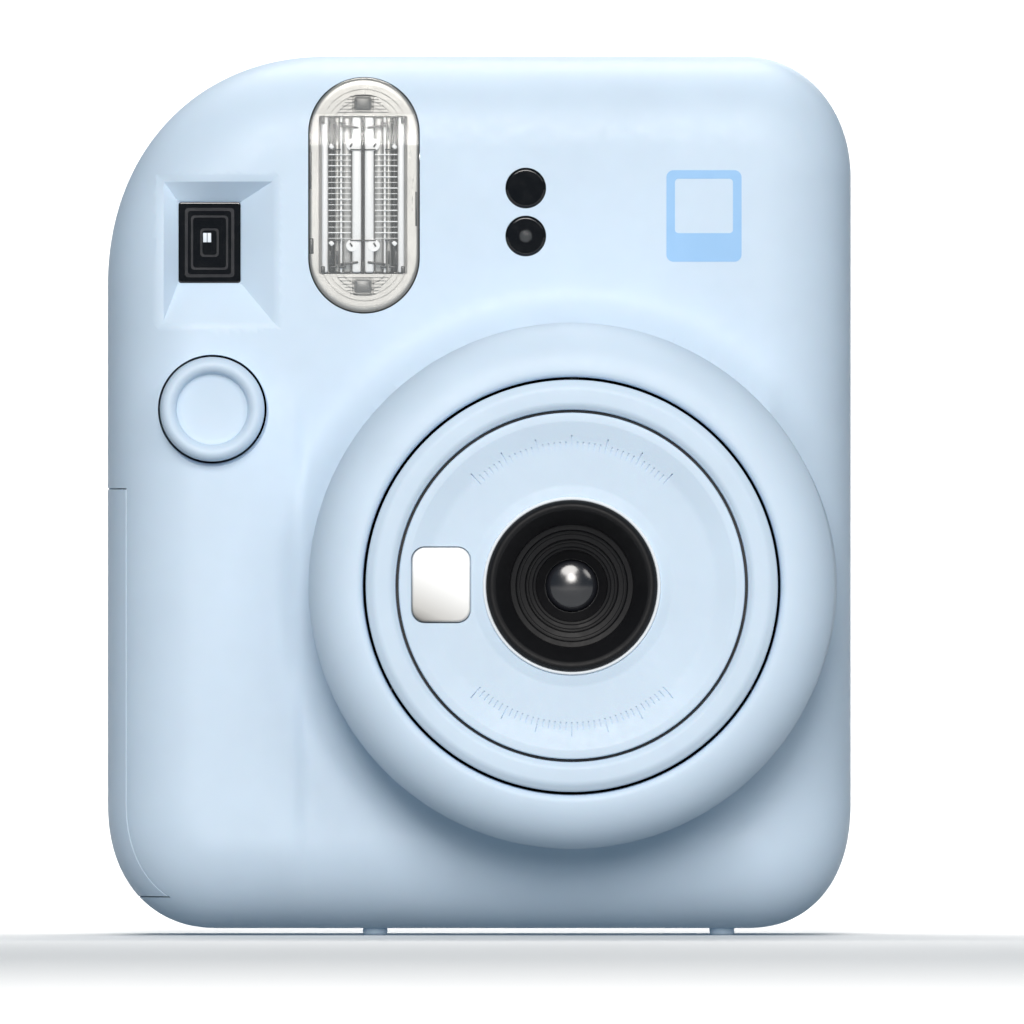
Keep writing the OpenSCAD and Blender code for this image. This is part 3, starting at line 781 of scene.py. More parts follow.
    def inner(self) -> bpy.types.Object:
        """The hollow inside the case."""
        rings: list[Path] = []
        rear_r, front_r = self.rear_round - self.wall, self.front_round - self.wall
        for step in range(7):
            angle = math.pi / 2 * step / 6
            y = self.rear - self.wall - rear_r * (1 - math.cos(angle))
            rings.append(
                [Vector((p.x, y, p.y)) for p in self.outline(self.wall + rear_r * (1 - math.sin(angle)))]
            )
        for step in range(9):
            angle = math.pi / 2 * (1 - step / 8)
            y = -self.front + self.wall + front_r * (1 - math.cos(angle))
            rings.append(
                [Vector((p.x, y, p.y)) for p in self.outline(self.wall + front_r * (1 - math.sin(angle)))]
            )
        return solid(loft(rings), "case_inner")


def loft(rings: Sequence[Path]) -> bmesh.types.BMesh:
    """Extrudes a first ring through the others and caps both ends.

    Args:
        rings: Rings of the same number of points.

    Returns:
        The closed solid, in millimetres.
    """
    bm = bmesh.new()
    ring = bmesh.ops.create_circle(bm, cap_ends=True, radius=1.0, segments=len(rings[0]))["verts"]
    for vert, point in zip(ring, rings[0]):
        vert.co = point
    for points in rings[1:]:
        edges = [ring[k].link_edges for k in range(len(ring))]
        loop = [
            next(e for e in edges[k] if e.other_vert(ring[k]) is ring[(k + 1) % len(ring)])
            for k in range(len(ring))
        ]
        fresh = bmesh.ops.extrude_edge_only(bm, edges=loop)["geom"]
        new = {g for g in fresh if isinstance(g, bmesh.types.BMVert)}
        ring = [next(e.other_vert(v) for e in v.link_edges if e.other_vert(v) in new) for v in ring]
        for vert, point in zip(ring, points):
            vert.co = point
    bmesh.ops.contextual_create(bm, geom=ring)
    bmesh.ops.recalc_face_normals(bm, faces=bm.faces)
    return bm


def frame_points(sides: Sequence[float], steps: int = 10) -> Path:
    """Points along a rectangle, anticlockwise from its lower right corner.

    Args:
        sides: Left, right, bottom and top.
        steps: Pieces along each side.

    Returns:
        The points.
    """
    left, right, bottom, top = sides
    corners = [Vector(p) for p in ((right, bottom), (right, top), (left, top), (left, bottom))]
    return [a.lerp(b, k / steps) for a, b in zip(corners, corners[1:] + corners[:1]) for k in range(steps)]


@dataclass
class CaseShells:
    """Front cover, rear cover, film door and battery cover, cut from one form."""

    form: CaseForm
    seam: float = 0.25
    leaf: float = 3.5
    parting: float = 22.0
    finder_left: float = -44.6
    finder_right: float = -28.4
    finder_low: float = 85.4
    finder_high: float = 105.9
    finder_depth: float = 3.4
    finder_soft: float = 0.5

    def build(self) -> None:
        """Makes the four shells and their cut-outs."""
        outer = self.form.outer()
        inner = self.form.inner()
        low, high = place("viewfinder_window")
        backing = solid(box((low.x - 3.5, -30, low.z - 7), (high.x + 7, -7.4, high.z + 4.5)), "backing")
        carve(inner, backing, Side.CUT)
        pedestal = solid(self.pedestal(), "pedestal")
        carve(outer, pedestal, Side.JOIN)
        carve(outer, inner, Side.CUT)
        discard(backing, pedestal)
        self.front_cover(copy_of(outer, "front_shell"))
        self.rear_cover(copy_of(outer, "rear_shell"))
        self.film_door(copy_of(outer, "film_door_shell"))
        self.battery_cover(copy_of(outer, "battery_cover_shell"))
        discard(outer, inner)

    def pedestal(self) -> bmesh.types.BMesh:
        """The low round step the dome turns on."""
        front = self.form.collar_front
        corners = [(0, 4, 0), (37.4, 4, 0), (36.5, front - 0.3, 0.2), (36.3, front, 0.1), (0, front, 0)]
        return lathe(rounded_path(corners), self.form.lens, 256, loop=False)

    def zone(self, low: Vector, high: Vector, pivot: Vector, gap: float) -> bpy.types.Object:
        """The space a hinged leaf takes, less the hinge's round.

        Args:
            low: Lowest corner.
            high: Highest corner.
            pivot: A point on the hinge axis.
            gap: Clearance added all round.

        Returns:
            The solid.
        """
        grow = Vector((gap, gap, gap))
        block = solid(box(low - grow, high + grow), "zone")
        barrel = solid(rod(Vector((pivot.x, pivot.y, -20)), "Z", self.leaf - gap, 200.0, 96), "barrel")
        carve(block, barrel, Side.CUT)
        discard(barrel)
        return block

    def door_zone(self, gap: float) -> bpy.types.Object:
        """The film door's space."""
        low, high = place("film_door")
        pivot = joint_place("door_hinge")
        return self.zone(Vector((low.x, pivot.y + gap, low.z)), Vector((80, 60, high.z)), pivot, gap)

    def cover_zone(self, gap: float) -> bpy.types.Object:
        """The battery cover's space."""
        low, high = place("battery_cover")
        pivot = joint_place("battery_hinge")
        return self.zone(
            Vector((-80, low.y, low.z)), Vector((-43 - gap, pivot.y - gap, high.z)), pivot, gap
        )

    def cut_all(self, target: bpy.types.Object, tools: Sequence[bmesh.types.BMesh]) -> None:
        """Cuts a shell with several meshes in turn."""
        for tool in tools:
            cutter = solid(tool, "cutter")
            carve(target, cutter, Side.CUT)
            discard(cutter)

    def finder_recess(self) -> bmesh.types.BMesh:
        """The tapered recess round the finder window, as a solid to cut with."""
        low, high = place("viewfinder_window")
        floor = self.form.front - self.finder_depth
        inner = (low.x - 0.1, high.x + 0.1, low.z - 0.1, high.z + 0.1)
        outer = (self.finder_left, self.finder_right, self.finder_low, self.finder_high)
        soft = self.finder_soft
        near = tuple(o - soft * d for o, d in zip(outer, SPREAD))
        far = tuple(o + soft * d for o, d in zip(outer, SPREAD))
        rings = [[Vector((p.x, -floor, p.y)) for p in frame_points(inner)]]
        rings.append([Vector((p.x, 0.32 - self.form.surface(p.x, p.y), p.y)) for p in frame_points(near)])
        rings.append([Vector((p.x, -0.03 - self.form.surface(p.x, p.y), p.y)) for p in frame_points(far)])
        rings.append([Vector((p.x, -20.0, p.y)) for p in frame_points(far)])
        return loft(rings)

    def finder_seat(self) -> bmesh.types.BMesh:
        """The window's hole with its chamfered lip, as a solid to cut with."""
        centre = middle("viewfinder_window")
        floor = self.form.front - self.finder_depth
        levels = ((8.7, 11.3, 5.0), (8.7, 11.3, floor - 0.25), (9.3, 11.9, floor + 0.05))
        rings = [
            [Vector((centre.x + p.x, -h, centre.z + p.y)) for p in plate_outline(w, d, 0.4)]
            for w, d, h in levels
        ]
        return loft(rings)

    def front_cover(self, shell: bpy.types.Object) -> None:
        """Cuts the front cover from the shell."""
        button, flash = middle("shutter_button"), middle("flash_lens")
        self.cut_all(shell, [
            box((-90, self.parting - 0.2, -20), (90, 60, 160)),
            lathe([(0, -5), (31.3, -5), (31.3, 40), (0, 40)], self.form.lens, 192, loop=False),
            self.finder_recess(),
            self.finder_seat(),
            slab(pill_outline(33.1, 7.8), flash, -2.0, 30.0),
            lathe(
                [(0, -2), (7.6, -2), (7.6, 12.45), (8.3, 13.4), (8.3, 30), (0, 30)], button, 128,
                loop=False
            ),
            *[lathe([(0, 5), (2.85, 5), (2.85, 30), (0, 30)], middle(n), 64, loop=False)
              for n in ("exposure_sensor_window", "flash_sensor_window")],
            box((-15.7, 12.4, 115), (41.5, 17.0, 130)),
        ])
        for tool in (self.door_zone(self.seam), self.cover_zone(self.seam)):
            carve(shell, tool, Side.CUT)
            discard(tool)
        self.cut_all(shell, hinge_notches())
        self.cut_all(shell, strap_windows())
        self.finish(shell, "front_cover_skin", "case", "front_cover")

    def rear_cover(self, shell: bpy.types.Object) -> None:
        """Cuts the rear cover from the shell."""
        eyepiece, latch = middle("viewfinder_eyepiece"), middle("door_latch")
        self.cut_all(shell, [
            box((-90, -60, -20), (90, self.parting, 160)),
            slab(plate_outline(9.4, 12.0, 1.5), eyepiece, -60.0, -20.0),
            box((latch.x - 3.4, 25, latch.z - 10), (latch.x + 0.9, 60, latch.z + 7), 0.0),
            *[rod(Vector((s.x, 20, s.z)), "Y", 2.1, 30.0) for s in screw_places()],
        ])
        tool = self.door_zone(self.seam)
        carve(shell, tool, Side.CUT)
        discard(tool)
        self.finish(shell, "rear_cover_skin", "case", "rear_cover")

    def film_door(self, shell: bpy.types.Object) -> None:
        """Cuts the film door from the shell."""
        tool = self.door_zone(0.0)
        carve(shell, tool, Side.KEEP)
        discard(tool)
        self.cut_all(shell, [
            slab(pill_outline(22.4, 3.4), middle("film_window"), -60.0, -20.0),
            lathe([(0, -60), (3.75, -60), (3.75, -20), (0, -20)], middle("counter_window"), 64, loop=False),
        ])
        self.finish(shell, "film_door_skin", "door", "film_door")

    def battery_cover(self, shell: bpy.types.Object) -> None:
        """Cuts the battery cover from the shell."""
        tool = self.cover_zone(0.1)
        carve(shell, tool, Side.KEEP)
        discard(tool)
        self.finish(shell, "battery_cover_skin", "battery_lid", "battery_cover")

    def finish(self, shell: bpy.types.Object, name: str, body: str, node: str) -> None:
        """Names, paints and attaches a shell."""
        shell.name = name
        Dress(body, CASE, (node,), sharp=24.0).put_on(shell)
        LOG.info("%s: %d faces on %s", name, len(shell.data.polygons), body)


def joint_place(name: str) -> Vector:
    """A joint's place in millimetres."""
    joint = next(j for j in FRAME["joints"] if j["name"] == name)
    return Vector(joint["pos_m"]) / MM


def hinge_notches() -> list[bmesh.types.BMesh]:
    """Gaps in the front cover for the hinge knuckles."""
    door, cover = joint_place("door_hinge"), joint_place("battery_hinge")
    tools = [
        box((door.x - 3, door.y - 2.45, z - 0.25), (door.x + 3, door.y + 4.45, z + 10.25))
        for z in (20, 68)
    ]
    tools.append(box((cover.x - 3, cover.y - 4.45, 27.75), (cover.x + 3, cover.y + 1.75, 50.25)))
    return tools


def strap_windows() -> list[bmesh.types.BMesh]:
    """Openings over the two strap bars."""
    low, high = place("strap_bars")
    centre = (low + high) / 2
    tools = []
    for side in (-1, 1):
        bm = slab(pill_outline(9.0, 3.6), Vector((0, 0, 0)), -4.0, 4.0)
        bmesh.ops.rotate(bm, verts=bm.verts, cent=(0, 0, 0), matrix=Matrix.Rotation(math.pi / 2, 3, "Z"))
        bmesh.ops.translate(bm, verts=bm.verts, vec=(side * 51.0, centre.y, centre.z))
        tools.append(bm)
    return tools


def screw_places() -> list[Vector]:
    """Where the case screws are, from the separate solids of their node."""
    mesh = FRAME["nodes"]["case_screws"].data
    places: list[Vector] = []
    for vert in mesh.vertices:
        point = vert.co / MM
        if not any((point.xz - p.xz).length < 6 for p in places):
            places.append(point)
    centres = []
    for seed in places:
        near = [v.co / MM for v in mesh.vertices if (v.co.xz / MM - seed.xz).length < 6]
        centres.append(sum(near, Vector()) / len(near))
    return centres


# ---------------------------------------------------------------- lens


@dataclass
class LensGroup:
    """Dome, barrel, face plate, mirror, cone and front lens."""

    dome_front: float = 31.6
    dome_base: float = 15.8
    arc_across: float = 7.4
    arc_rise: float = 9.0
    arc_turn: float = 64.0
    ticks: int = 37
    tick_radius: float = 19.0

    def __post_init__(self) -> None:
        """Reads the lens axis from the frame."""
        self.axis = middle("lens_dome")

    def build(self) -> None:
        """Makes every piece of the group."""
        self.dome()
        self.barrel()
        self.face()
        self.mirror()
        self.cone()
        self.glass()

    def dome(self) -> None:
        """The rotating dome, with its index notch."""
        bore, outer, base = 29.1, 36.7, self.dome_base
        profile = [
            (bore, 11.5), (30.9, 11.5), (30.9, 26), (33, 26), (34.6, base), (outer - 0.35, base),
            (outer, base + 0.4)
        ]
        profile += [(outer - 0.02, self.dome_front - 8.6 + 0.2 * k) for k in range(3)]
        for step in range(33):
            angle = math.radians(self.arc_turn) * (1 - step / 32)
            across = bore + 0.9 + self.arc_across * math.sin(angle)
            profile.append((across, self.dome_front - self.arc_rise * (1 - math.cos(angle))))
        profile += [
            (bore + 0.45, self.dome_front - 0.08), (bore + 0.12, self.dome_front - 0.4),
            (bore, self.dome_front - 0.9)
        ]
        shell = solid(lathe(profile, self.axis, 256), "dome_shell")
        notch = solid(
            box(
                (self.axis.x - 2.2, -20.5, self.axis.z + 36.2),
                (self.axis.x + 0.7, -10.0, self.axis.z + 38)
            ),
            "notch"
        )
        carve(shell, notch, Side.CUT)
        discard(notch)
        shell.name = "lens_dome_skin"
        Dress("dome", CASE, ("lens_dome",), sharp=40.0).put_on(shell)

    def barrel(self) -> None:
        """The barrel's rim and tube."""
        corners = [
            (26.6, 0.6, 0), (28.7, 0.6, 0.3), (28.7, 32.1, 0.55), (27.6, 32.75, 1.6), (25.3, 32.75, 1.2),
            (24.55, 32.2, 0.4), (24.5, 29.6, 0.1), (22.5, 29.6, 0), (22.5, 28.2, 0), (26.6, 28.2, 0),
        ]
        piece(
            lathe(rounded_path(corners, 6), self.axis, 256), "lens_barrel_skin",
            Dress("barrel", CASE, ("lens_barrel",))
        )

    def face(self) -> None:
        """The dished face plate with engraved scale marks and the mirror's pocket."""
        corners = [
            (12.05, 29.6, 0), (24.15, 29.6, 0), (
                24.12, 32.45, 0.25
            ), (22.9, 32.45, 1.2), (20.0, 31.85, 6.0),
            (14.0, 31.75, 3.0), (12.6, 31.95, 0.4), (12.05, 31.9, 0.2),
        ]
        plate = solid(lathe(rounded_path(corners, 6, loop=False), self.axis, 256), "face_plate")
        mirror = middle("selfie_mirror")
        pocket = solid(slab(plate_outline(8.4, 10.7, 1.95), mirror, 30.8, 36.0), "pocket")
        marks = solid(merged(list(self.scale_marks())), "marks")
        for tool in (pocket, marks):
            carve(plate, tool, Side.CUT)
        discard(pocket, marks)
        plate.name = "lens_face_skin"
        Dress("barrel", CASE, ("lens_face",)).put_on(plate)
        gap = [(24.16, 30.0), (24.49, 30.0), (24.49, 31.2), (24.16, 31.2)]
        piece(lathe(gap, self.axis, 192), "face_gap_seal", Dress("barrel", CHAMBER))
        # Pale ring painted as the highlight on the face plate's inner edge round the cone.
        lip = rounded_path(
            [(11.92, 31.0, 0.1), (12.4, 31.0, 0.1), (12.4, 32.35, 0.2), (11.92, 32.35, 0.2)], 4, loop=True
        )
        piece(lathe(lip, self.axis, 192), "face_painted_highlight_lip", Dress("barrel", PALE_PAINTED_LIGHT))

    def scale_marks(self) -> list[bmesh.types.BMesh]:
        """Small engraved bars in two arcs, above and below the cone."""
        marks = []
        for base in (90.0, 270.0):
            for index in range(self.ticks):
                angle = math.radians(base - 42 + 84 * index / (self.ticks - 1))
                length = 2.0 if index % 6 == 0 else 1.1
                bar = box((self.tick_radius, -32.6, -0.09), (self.tick_radius + length, -31.62, 0.09))
                bmesh.ops.rotate(
                    bar, verts=bar.verts, cent=(0, 0, 0), matrix=Matrix.Rotation(-angle, 3, "Y")
                )
                bmesh.ops.translate(bar, verts=bar.verts, vec=(self.axis.x, 0, self.axis.z))
                marks.append(bar)
        return marks

    def mirror(self) -> None:
        """The mirror, with a rounded edge."""
        centre = middle("selfie_mirror")
        body = slab(plate_outline(8.1, 10.4, 1.8), centre, 30.82, 32.1, rim=0.25)
        piece(body, "selfie_mirror_skin", Dress("barrel", MIRROR_PAINTED_REFLECTION, ("selfie_mirror",)))

    def cone(self) -> None:
        """The stepped black cone."""
        corners = [
            (4.6, 23, 0), (11.9, 23, 0), (11.9, 32.6, 0.5), (11.3, 33.3, 0.6), (10.6, 33.0, 0.5),
            (8.6, 30.6, 0.5)
        ]
        radius, height = 8.55, 29.9
        for drop, tread in ((0.9, 0.85), (0.4, 0.45), (0.9, 0.85), (0.3, 0.4), (0.5, 0.6), (0.9, 0.5)):
            corners += [(radius, height, 0.08), (radius - tread + 0.12, height - 0.1, 0.12)]
            radius -= tread
            height -= drop
            corners.append((radius, height + 0.3, 0.08))
        corners += [(3.75, 25.4, 0.1), (3.75, 24.1, 0.05), (4.6, 24.1, 0)]
        piece(
            lathe(rounded_path(corners, 4), self.axis, 192), "lens_cone_skin",
            Dress("barrel", BLACK, ("lens_cone",))
        )

    def glass(self) -> None:
        """The front lens element."""
        profile = [(0.0, 23.05), (4.5, 23.05)]
        profile += [(4.5, 24.0), (3.7, 24.0)]
        profile += [
            (3.6 * math.cos(math.pi / 2 * k / 24), 24.6 + 1.0 * math.sin(math.pi / 2 * k / 24))
            for k in range(25)
        ]
        piece(
            lathe(profile, self.axis, 96, loop=False), "front_lens_skin",
            Dress("barrel", GLASS, ("front_lens",))
        )


# ---------------------------------------------------------------- controls and windows


@dataclass
class FrontControls:
    """Shutter button, sensors, finder window and printed badge."""

    def build(self) -> None:
        """Makes every piece."""
        self.button()
        self.sensors()
        self.finder()
        self.badge()

    def button(self) -> None:
        """The round shutter button with its raised ring."""
        low, high = place("shutter_button")
        axis = middle("shutter_button")
        rim = (high.x - low.x) / 2
        profile = [(0, 4.5), (2, 4.5), (2, 11.6), (4.4, 11.6), (4.4, 11), (rim, 11), (rim, 14.6)]
        half = (rim - 4.95) / 2
        profile += [
            (4.95 + half + half * math.cos(math.pi * k / 24), 14.55 + 1.5 * math.sin(math.pi * k / 24))
            for k in range(1, 24)
        ]
        profile += [(4.95, 14.62), (4.7, 14.5), (4.2, 14.45), (0, 14.35)]
        piece(
            lathe(profile, axis, 160, loop=False), "shutter_button_skin",
            Dress("button", CASE, ("shutter_button",), 50.0)
        )

    def sensors(self) -> None:
        """Two glossy dark windows, the lower with a small lens behind it."""
        for node in ("exposure_sensor_window", "flash_sensor_window"):
            axis = middle(node)
            corners = [
                (0, 10, 0), (2.78, 10, 0), (2.78, 12.5, 0.2), (2.5, 12.66, 0.2), (2.3, 12.66, 0),
                (0, 12.66, 0)
            ]
            piece(
                lathe(rounded_path(corners), axis, 96, loop=False), node + "_skin",
                Dress("case", GLOSS, (node,))
            )
        axis = middle("flash_sensor_window")
        bead = [
            (0.9 * math.sin(math.pi / 2 * k / 10), 12.62 + 0.25 * math.cos(math.pi / 2 * k / 10))
            for k in range(11)
        ]
        piece(
            lathe([(0, 12.5), (0.9, 12.5)] + bead[::-1], axis, 48, loop=False), "sensor_bead",
            Dress("case", CLEAR)
        )

    def finder(self) -> None:
        """The finder's dark window, the stepped frames inside it and the light spot, a pale patch painted as the
        light seen through the eyepiece.
        """
        low, high = place("viewfinder_window")
        centre = (low + high) / 2
        back = -high.y
        plate = slab(plate_outline(8.6, 11.2, 0.35), centre, back, back + 0.5, rim=0.05)
        piece(plate, "finder_pane", Dress("case", GLOSS, ("viewfinder_window",)))
        frames = []
        for width, height, line in ((6.9, 9.7, 0.42), (5.2, 7.6, 0.3), (2.6, 4.0, 0.3)):
            frame = solid(slab(plate_outline(width, height, 0.5), centre, back + 0.4, back + 0.54), "frame")
            hole = solid(
                slab(plate_outline(width - 2 * line, height - 2 * line, 0.4), centre, back, back + 2),
                "hole"
            )
            carve(frame, hole, Side.CUT)
            discard(hole)
            frames.append(bmesh.new())
            frames[-1].from_mesh(frame.data)
            bmesh.ops.scale(frames[-1], verts=frames[-1].verts, vec=(1 / MM, 1 / MM, 1 / MM))
            discard(frame)
        piece(merged(frames), "finder_frames", Dress("case", SMOKE))
        # Painted light: two pale patches stand for the light coming through the eyepiece.
        painted_light_spots = [
            box((x, -back - 0.6, centre.z + 0.05), (x + 0.52, -back - 0.5, centre.z + 1.35), 0.03)
            for x in (centre.x - 0.9, centre.x - 0.3)
        ]
        piece(merged(painted_light_spots), "finder_painted_light_spot", Dress("case", PALE_PAINTED_LIGHT))

    def badge(self) -> None:
        """A printed outline of an instant print."""
        top = place("front_cover")[1]
        centre = Vector((31.4, 0, top.z - 22.4))
        back, front = 12.44, 12.53
        outer = solid(slab(plate_outline(10.5, 12.8, 1.0), centre, back, front), "badge_outer")
        window = solid(
            slab(plate_outline(8.1, 7.6, 0.5), centre + Vector((0, 0, 1.4)), 11.0, 14.0), "badge_window"
        )
        carve(outer, window, Side.CUT)
        discard(window)
        outer.name = "print_badge"
        Dress("case", PRINT).put_on(outer)


@dataclass(frozen=True)
class Strip:
    """One upright strip of the flash, from the centre line outwards."""

    near: float
    far: float
    front: float
    finish: Finish
    both: bool = True


# The white strips are painted reflections on the chrome reflector; the near-black strips are painted shade in its
# folds.
STRIPS = (
    Strip(-0.14, 0.14, 9.4, SHADE, False), Strip(0.26, 1.5, 10.2, FLASH_PAINTED_HIGHLIGHT), Strip(1.7, 2.75, 9.2, DULL),
    Strip(2.9, 3.2, 9.9, FLASH_PAINTED_HIGHLIGHT), Strip(3.25, 3.95, 9.3, SILVER), Strip(4.0, 4.75, 9.2, SHADE),
    Strip(4.9, 5.75, 10.0, FLASH_PAINTED_HIGHLIGHT),
)


@dataclass
class Flash:
    """Clear window, silver surround, ribbed reflector and tube ends."""

    pane_w: float = 12.4
    low_z: float = 92.5
    high_z: float = 114.6
    bar_pitch: float = 0.78
    offset_x: float = -0.15

    def build(self, form: CaseForm) -> None:
        """Makes every piece.

        Args:
            form: The case's form, which the window follows.
        """
        self.centre = middle("flash_lens")
        self.pane = Vector((self.centre.x + self.offset_x, 0, (self.low_z + self.high_z) / 2))
        self.window(form)
        self.surround()
        self.strips()
        self.bars()
        self.ends()

    def window(self, form: CaseForm) -> None:
        """The clear window, flush with the case."""
        lens = form.outer()
        prism = solid(slab(pill_outline(32.7, 7.62), self.centre, -2.0, 30.0), "prism")
        carve(lens, prism, Side.KEEP)
        behind = form.outer()
        behind.data.transform(Matrix.Translation((0, 1.1 * MM, 0)))
        carve(lens, behind, Side.CUT)
        discard(prism, behind)
        lens.name = "flash_window"
        Dress("case", CLEAR, ("flash_lens",)).put_on(lens)

    def surround(self) -> None:
        """The silver pan behind the window, its pane cut out and its ends stepped."""
        pan = solid(slab(pill_outline(32.9, 7.7), self.centre, 1.8, 9.8, rim=0.5), "pan")
        hole = solid(
            slab(plate_outline(self.pane_w, self.high_z - self.low_z, 0.3), self.pane, 4.0, 20.0), "hole"
        )
        carve(pan, hole, Side.CUT)
        discard(hole)
        for side in (-1, 1):
            for step in range(4):
                radius = 6.1 - 0.75 * step
                cut = lathe([(radius, 9.4), (radius + 0.16, 9.4), (radius + 0.16, 12), (radius, 12)],
                            self.centre + Vector((0, 0, side * 8.6)), 96)
                tool = solid(cut, "cut")
                carve(pan, tool, Side.CUT)
                discard(tool)
        pan.name = "flash_surround"
        Dress("case", SILVER).put_on(pan)

    def strips(self) -> None:
        """Upright ribs of the reflector, one piece for each finish; the white ribs are painted reflections of the
        chrome reflector and the near-black ribs painted shade.
        """
        by_finish: dict[str, list[bmesh.types.BMesh]] = {}
        for strip in STRIPS:
            for side in (-1, 1) if strip.both else (1,):
                ends = sorted((side * strip.near, side * strip.far))
                low = (self.pane.x + ends[0], -strip.front, self.low_z + 0.2)
                high = (self.pane.x + ends[1], -5.0, self.high_z - 0.2)
                by_finish.setdefault(strip.finish.name, []).append(
                    box(low, high, min(0.3, (ends[1] - ends[0]) * 0.4))
                )
        back = box(
            (self.pane.x - self.pane_w / 2, -5.2, self.low_z),
            (self.pane.x + self.pane_w / 2, -4.0, self.high_z)
        )
        by_finish[DULL.name].append(back)
        for finish in (FLASH_PAINTED_HIGHLIGHT, DULL, SILVER, SHADE):
            nodes = ("flash_reflector", "flash_tube") if finish is DULL else ()
            piece(merged(by_finish[finish.name]), f"reflector_{finish.name}", Dress("case", finish, nodes))

    def block(
        self, x: float, z: float, half_x: float, half_z: float, front: float = 10.4, turn: float = 0.0
    ) -> bmesh.types.BMesh:
        """A small block on the pane, placed from the pane's centre line.

        Args:
            x: Across, from the centre line.
            z: Up.
            half_x: Half its width.
            half_z: Half its height.
            front: Distance forward of its front.
            turn: Angle it is turned in its own plane.

        Returns:
            The block.
        """
        bm = box((-half_x, -front, -half_z), (half_x, 0.4 - front, half_z), min(half_x, half_z) * 0.4)
        bmesh.ops.rotate(bm, verts=bm.verts, cent=(0, 0, 0), matrix=Matrix.Rotation(turn, 3, "Y"))
        bmesh.ops.translate(bm, verts=bm.verts, vec=(self.pane.x + x, 0, z))
        return bm

    def bars(self) -> None:
        """Fine level bars moulded across the ribs, painted white as highlights."""
        bars = []
        count = int((self.high_z - self.low_z - 9) / self.bar_pitch)
        for index in range(count):
            z = self.low_z + 5 + index * self.bar_pitch
            thick = 0.075 if index % 2 else 0.04
            bars += [self.block(side * 3.25, z, 1.6, thick, 10.3) for side in (-1, 1)]
        piece(merged(bars), "flash_bars", Dress("case", FLASH_PAINTED_HIGHLIGHT))

    def ends(self) -> None:
        """Collars painted white as highlights, near-black blocks painted as shade in the corners and along the
        pan, and dark grey pads painted as shade beyond the tube.
        """
        shade, pale, pads = [], [], []
        for side in (-1, 1):
            edge = self.high_z if side > 0 else self.low_z
            shade += [self.block(x, edge - side * 0.6, 0.28, 0.5) for x in (-5.6, 5.6)]
            shade += [
                self.block(x, edge - side * 1.5, 1.25, 0.16, turn=0.12 * side * (1 if x < 0 else -1))
                for x in (-1.9, 1.9)
            ]
            shade += [self.block(x, edge - side * 2.3, 0.14, 0.95) for x in (-4.6, -3.6, 3.6, 4.6)]
            shade += [self.block(x, edge - side * 1.0, 0.5, 0.12) for x in (-4.1, -2.9, 2.9, 4.1)]
            shade += [self.block(x, edge - side * 4.7, 0.9, 0.09, 10.5) for x in (-4.0, -0.9, 0.9, 4.0)]
            shade.append(self.block(0.0, edge - side * 0.9, 0.13, 0.8, 10.5))
            for x in (-1.5, 1.5):
                cup = rod(Vector((self.pane.x + x, -10.35, edge - side * 4.0)), "Y", 0.85, 0.35, 32)
                pale.append(cup)
                shade.append(self.block(x * 1.1, edge - side * 4.1, 0.12, 0.3, 10.55, turn=0.5 * side))
            pale += [self.block(x, edge - side * 4.3, 0.35, 0.3, 10.45, turn=0.8) for x in (-4.4, 4.4)]
            # Stacked dark grey pads are painted shade beyond the tube ends.
            pads += [
                self.block(0.0, edge + side * 1.7, 1.5 - 0.14 * k, 1.25 - 0.1 * k, 9.85 + 0.03 * k)
                for k in range(3)
            ]
            pads += [
                self.block(0.0, edge + side * (0.5 + 0.45 * k), 3.6 - 0.35 * k, 0.05, 9.86)
                for k in range(6)
            ]
        # Thin near-black slivers painted as shade along the edges of the pan.
        for x, z, half_x, half_z in (
            (-7.35, 107.0, 0.16, 2.6), (-7.2, 96.4, 0.3, 1.1), (7.45, 101.6, 0.14, 2.4)
        ):
            shade.append(self.block(x, z, half_x, half_z, 9.9))
        piece(merged(shade), "flash_painted_shade_marks", Dress("case", SHADE))
        piece(merged(pale), "flash_cups", Dress("case", FLASH_PAINTED_HIGHLIGHT))
        piece(merged(pads), "flash_painted_shade_pads", Dress("case", SHADE_PAD))


